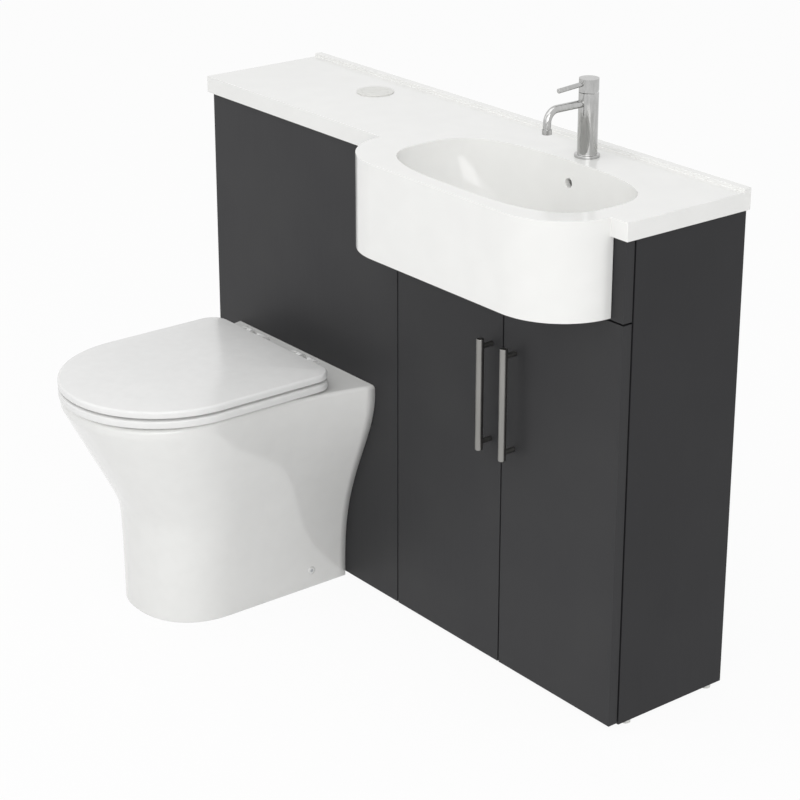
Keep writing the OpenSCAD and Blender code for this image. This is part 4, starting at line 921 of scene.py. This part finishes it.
    def caps(self) -> bpy.types.Object:
        """Push-in caps over the two side screws: low domes that fall with the radius squared."""
        low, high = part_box("pan_fixings")
        y, z = (low.y + high.y) / 2, self.screw_z
        rim, rise = self.screw_dome
        share = np.linspace(1, 0.05, 9)
        dome = np.stack([self.cap_r * share, rim + rise * (1 - share**2)], axis=1)
        profile = np.vstack([[[self.cap_r, -2 * MM]], dome])
        right = lathe(profile, (self.x + self.foot_hw + 1.0 * MM, y, z), "X", 40)
        mirror = np.array([-1.0, 1.0, 1.0])
        left_points = right.points * mirror + np.array([2 * self.x, 0.0, 0.0])
        left = Shell(left_points, right.quads, right.tris).outward()
        made = piece("pan_screw_caps", [left, right], self.finishes.of(Slot.SEAT))
        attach(made, "cabinet")
        return made


# ----------------------------------------------------------------------- seat and lid


@dataclass
class SeatAndLid:
    """Pressed seat and lid in one outline: square behind, and a half round in front."""

    finishes: Finishes
    corner_r: float = 34 * MM
    hole_r: float = 122 * MM
    hole_front: float = 62 * MM
    bridge: float = 88 * MM
    seat_t: float = 15 * MM
    seat_edge: float = 5 * MM
    seat_dome: float = 1.4 * MM
    lid_t: float = 13 * MM
    lid_edge: float = 4.5 * MM
    lid_under: float = 2.5 * MM
    crown_in: float = 150 * MM
    knuckle_r: float = 9 * MM
    bolt_x: float = 77.5 * MM
    pivot_back: float = 12 * MM
    pivot_rise: float = 16.5 * MM
    lid_lift: float = 18 * MM
    tongue_t: float = 8 * MM
    seat_knuckle: tuple[float, float] = (10.5 * MM, 22 * MM)
    lid_knuckle: tuple[float, float] = (22.5 * MM, 34 * MM)

    def __post_init__(self) -> None:
        """Takes the outline and heights from the CAD lid and seat."""
        low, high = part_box("toilet_lid")
        seat_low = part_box("toilet_seat")[0]
        self.x = (low.x + high.x) / 2
        self.hw = (high.x - low.x) / 2
        self.front = low.y
        self.pivot_y = high.y - self.knuckle_r
        self.back = self.pivot_y - self.pivot_back
        self.pivot_z = seat_low.z + self.pivot_rise
        self.seat_z, self.lid_z, self.top_z = seat_low.z, seat_low.z + self.lid_lift, high.z

    def outline(self, inset: np.ndarray) -> np.ndarray:
        """Plan of the seat at each inset: straight back and sides, round corners and nose.

        Args:
            inset: how far each ring is drawn in.

        Returns:
            Array of rings, points and the two coordinates of the plan.
        """
        inset = np.atleast_1d(inset)[:, None]
        hw, back = self.hw - inset, self.back - inset
        r = np.maximum(self.corner_r - inset, 4 * MM)
        nose_y = self.front + self.hw
        v = np.linspace(0, 1, 22)[None, 1:-1]
        turn = np.linspace(0, math.pi / 2, 10)[None, :]
        a = np.linspace(0, math.pi, 72)[None, :]
        back_x = (hw - r) * (1 - 2 * v)
        left_x = -(hw - r) - r * np.sin(turn)
        left_y = back - r + r * np.cos(turn)
        side_y = back - r + (nose_y - back + r) * v[:, ::2]
        x = np.hstack([back_x, left_x, 0 * side_y - hw, -hw * np.cos(a), 0 * side_y + hw,
                       -left_x[:, ::-1]])
        y = np.hstack([0 * back_x + back, left_y, side_y, nose_y - hw * np.sin(a),
                       side_y[:, ::-1], left_y[:, ::-1]])
        return np.stack([self.x + x, y], axis=-1)

    def hole(self, like: np.ndarray) -> np.ndarray:
        """Edge of the seat's hole: two half rounds joined, met by a ray to each outline point.

        Args:
            like: points of the outline, whose directions from the hole's middle are kept.

        Returns:
            One point of the hole's edge for each of them.
        """
        front_y = self.front + self.hole_front + self.hole_r
        l = (self.back - self.bridge - self.hole_r - front_y) / 2
        middle = np.array([self.x, front_y + l])
        ray = like - middle
        ray /= np.linalg.norm(ray, axis=-1, keepdims=True)
        cx, cy, r = np.abs(ray[..., 0]), np.abs(ray[..., 1]), self.hole_r
        on_side = r / np.maximum(cx, 1e-9)
        on_round = l * cy + np.sqrt(np.maximum(r**2 - (l * cx) ** 2, 0))
        reach = np.where(on_side * cy <= l, on_side, on_round)
        return middle + ray * reach[..., None]

    def seat(self) -> bpy.types.Object:
        """Seat: a ring whose top domes by a parabola between its rounded edges."""
        e, t, rise = self.seat_edge, self.seat_t, self.seat_dome
        turn = np.linspace(0, math.pi / 2, 6)
        width = np.linspace(0, 1, 9)
        dome = rise * (2 * width - 1) ** 2
        steps = [(0.0, 1.2 * MM), (0.0, t - e)]
        steps += [(e * (1 - math.cos(a)), t - e + (e - rise) * math.sin(a)) for a in turn[1:]]
        outer = self.outline(np.array([s[0] for s in steps]))
        outer_z = np.array([s[1] for s in steps])
        crown_out = self.outline(np.array([e]))[0]
        crown_in = self.hole(self.outline(np.array([0.0]))[0])
        grown = crown_in + (crown_out - crown_in) * 0.06
        across = crown_out + (grown - crown_out) * width[1:, None, None]
        inner = np.stack([grown + (crown_in - grown) * s for s in (0.6, 0.9, 1.0, 1.0, 0.7)])
        inner_z = np.array([t - 2.0 * MM, t - 3.4 * MM, t - 6 * MM, 2 * MM, 0.0])
        foot = self.outline(np.array([1.5 * MM]))[0]
        under = np.stack([crown_in + (foot - crown_in) * s for s in (0.12, 0.4, 0.7, 1.0)])
        plan = np.concatenate([outer, across, inner, under])
        z = np.concatenate([outer_z, t - dome[1:], inner_z, np.zeros(4)])
        height = np.broadcast_to(z[:, None, None] + self.seat_z, plan.shape[:2] + (1,))
        ring = ring_shell(np.concatenate([plan, height], axis=-1), looped=True)
        shells = [ring, *self.knuckles(self.seat_knuckle, self.seat_z + 6 * MM)]
        made = piece("seat_ring", shells, self.finishes.of(Slot.SEAT))
        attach(made, "seat")
        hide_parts("toilet_seat")
        return made

    def lid(self) -> bpy.types.Object:
        """Lid: a recess below, and a crown that rises as one less a falling cube."""
        e, foot, crown_l = self.lid_edge, self.lid_under, self.crown_in
        turn = np.linspace(0, math.pi / 2, 7)
        t = np.linspace(0, 1, 16)
        crown = self.top_z - self.lid_z - self.lid_t
        # The recess in the underside: inset and height of each ring, in millimetres
        low = [(150, 2.5), (110, 2.5), (70, 2.5), (52, 2.5), (48, 2.2), (45, 0.3), (43, 0.0),
               (20, 0.0)]
        inset = [i * MM for i, _ in low] + [foot * (1 - math.sin(a)) for a in turn]
        z = [h * MM for _, h in low] + [foot * (1 - math.cos(a)) for a in turn]
        inset += [e * (1 - math.cos(a)) for a in turn]
        z += [self.lid_t - e + e * math.sin(a) for a in turn]
        inset += list(e + (crown_l - e) * t[1:])
        z += list(self.lid_t + crown * (1 - (1 - t[1:]) ** 3))
        plan = self.outline(np.array(inset))
        height = np.broadcast_to((np.array(z) + self.lid_z)[:, None, None], plan.shape[:2] + (1,))
        shells = [ring_shell(np.concatenate([plan, height], axis=-1))]
        shells += self.knuckles(self.lid_knuckle, self.lid_z)
        made = piece("lid_shell", shells, self.finishes.of(Slot.SEAT))
        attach(made, "lid")
        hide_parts("toilet_lid")
        return made

    def knuckles(self, span: tuple[float, float], low: float) -> list[Shell]:
        """Round hinge knuckles beside each post, with a tongue to the piece's back edge.

        Args:
            span: distances of the knuckle's ends from the post's middle.
            low: underside of the tongue.

        Returns:
            A barrel and a tongue for each of the four knuckles.
        """
        made = []
        for bolt in (-1, 1):
            for side in (-1, 1):
                x0, x1 = sorted(self.x + bolt * self.bolt_x + side * d for d in span)
                half, mid = (x1 - x0) / 2, (x0 + x1) / 2
                profile = filleted([(0, -half, 0), (self.knuckle_r, -half, 0.8 * MM),
                                    (self.knuckle_r, half, 0.8 * MM), (0, half, 0)])[1:-1]
                made.append(lathe(profile, (mid, self.pivot_y, self.pivot_z), "X", 44))
                foot = low + 0.4 * MM
                made.append(block((x0, self.back - 13 * MM, foot),
                                  (x1, self.pivot_y, foot + self.tongue_t), 0.8 * MM))
        return made

    def build(self) -> list[bpy.types.Object]:
        """Builds the seat and the lid."""
        return [self.seat(), self.lid()]


# -------------------------------------------------------------------------- stage, main


@dataclass
class Studio:
    """Camera, soft lights, pale floor and white surroundings."""

    place: tuple[float, float, float] = (2.827, -2.0995, 1.879)
    yaw: float = 51.87
    pitch: float = 20.37
    lens: float = 101.25
    shift: float = -0.1
    white: str = "#ffffff"
    ambient: float = 0.6
    floor_glow: float = 0.94
    floor_half: float = 12.0

    def build(self) -> None:
        """Makes the camera, the lamps, the floor and the world."""
        self.camera()
        self.lamp("key_softbox", (-1.9, -2.6, 2.6), 2.6, 14.0)
        self.lamp("front_fill", (1.6, -3.2, 1.4), 2.4, 12.0)
        self.lamp("side_fill", (3.4, -2.0, 2.0), 2.6, 44.0)
        self.lamp("top_softbox", (0.2, -0.6, 3.0), 2.2, 15.0)
        self.floor()
        self.world()

    def camera(self) -> None:
        """Camera at the photograph's viewing angle."""
        data = bpy.data.cameras.new("camera")
        data.lens, data.sensor_width = self.lens, 36.0
        data.shift_y = self.shift
        data.clip_end = 60.0
        cam = bpy.data.objects.new("camera", data)
        cam.location = self.place
        cam.rotation_euler = (math.radians(90 - self.pitch), 0.0, math.radians(self.yaw))
        bpy.context.scene.collection.objects.link(cam)
        bpy.context.scene.camera = cam

    def lamp(self, name: str, at: tuple[float, float, float], size: float, watts: float) -> None:
        """Square softbox that faces the middle of the unit.

        Args:
            name: the lamp's name.
            at: its place.
            size: its side.
            watts: its power.
        """
        data = bpy.data.lights.new(name, "AREA")
        data.size, data.energy = size, watts
        made = bpy.data.objects.new(name, data)
        made.location = at
        aim = np.array([0.0, 0.0, 0.45]) - np.array(at)
        flat = math.hypot(aim[0], aim[1])
        tilt = math.atan2(flat, -aim[2])
        made.rotation_euler = (tilt, 0.0, math.atan2(aim[1], aim[0]) - math.pi / 2)
        bpy.context.scene.collection.objects.link(made)

    def seen(self, tree: bpy.types.NodeTree) -> Any:
        """Socket that is 1 for what the camera, a reflection or a clear thing sees."""
        path = add_node(tree, "LightPath")
        first = add_node(tree, "Math", {0: path.outputs["Is Camera Ray"],
                                        1: path.outputs["Is Glossy Ray"]}, operation="MAXIMUM")
        clear = path.outputs["Is Transmission Ray"]
        return add_node(tree, "Math", {0: first.outputs[0], 1: clear},
                        operation="MAXIMUM").outputs[0]

    def floor(self) -> None:
        """Pale floor: part of it is white to the eye, and the rest takes the shadow."""
        half = self.floor_half
        mesh = bpy.data.meshes.new("floor")
        mesh.from_pydata([(-half, -half, 0), (half, -half, 0), (half, half, 0), (-half, half, 0)],
                         [], [(0, 1, 2, 3)])
        made = bpy.data.objects.new("floor", mesh)
        bpy.context.scene.collection.objects.link(made)
        material = bpy.data.materials.new("pale_floor")
        material.use_nodes = True
        tree = material.node_tree
        tree.nodes.clear()
        paint = add_node(tree, "BsdfDiffuse", values={"Color": linear("#ededed")})
        glow = add_node(tree, "Emission", values={"Color": linear(self.white), "Strength": 1.0})
        share = add_node(tree, "Math", {0: self.seen(tree)}, {1: self.floor_glow},
                         operation="MULTIPLY")
        mixed = add_node(tree, "MixShader", {0: share.outputs[0], 1: paint.outputs[0],
                                             2: glow.outputs[0]})
        add_node(tree, "OutputMaterial", {"Surface": mixed.outputs[0]})
        mesh.materials.append(material)

    def world(self) -> None:
        """White to the eye and in reflections, and a soft grey light on the unit."""
        world = bpy.data.worlds.new("studio")
        world.use_nodes = True
        bpy.context.scene.world = world
        tree = world.node_tree
        tree.nodes.clear()
        white = linear(self.white)
        soft = add_node(tree, "Background", values={"Color": white, "Strength": self.ambient})
        bright = add_node(tree, "Background", values={"Color": white, "Strength": 1.0})
        mixed = add_node(tree, "MixShader", {0: self.seen(tree), 1: soft.outputs[0],
                                             2: bright.outputs[0]})
        add_node(tree, "OutputWorld", {"Surface": mixed.outputs[0]})
        bpy.context.scene.view_settings.view_transform = "Standard"


def corners(box: tuple[Any, Any]) -> list[list[float]]:
    """Two corners as plain lists of numbers."""
    return [[round(float(v), 5) for v in corner] for corner in box]


def main() -> None:
    """Builds every sub-assembly in order."""
    logging.basicConfig(level=logging.INFO, format="%(name)s: %(message)s")
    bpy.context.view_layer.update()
    finishes = Finishes()
    for node in frame["nodes"]:
        finishes.dress_node(node)
    Cabinets(finishes).dress()
    for hand in Hand:
        Handle(finishes, hand).build()
    Worktop(finishes).build()
    Fittings(finishes).build()
    Tap(finishes).build()
    Pan(finishes).build()
    SeatAndLid(finishes).build()
    Studio().build()


if __name__ == "__main__":
    main()
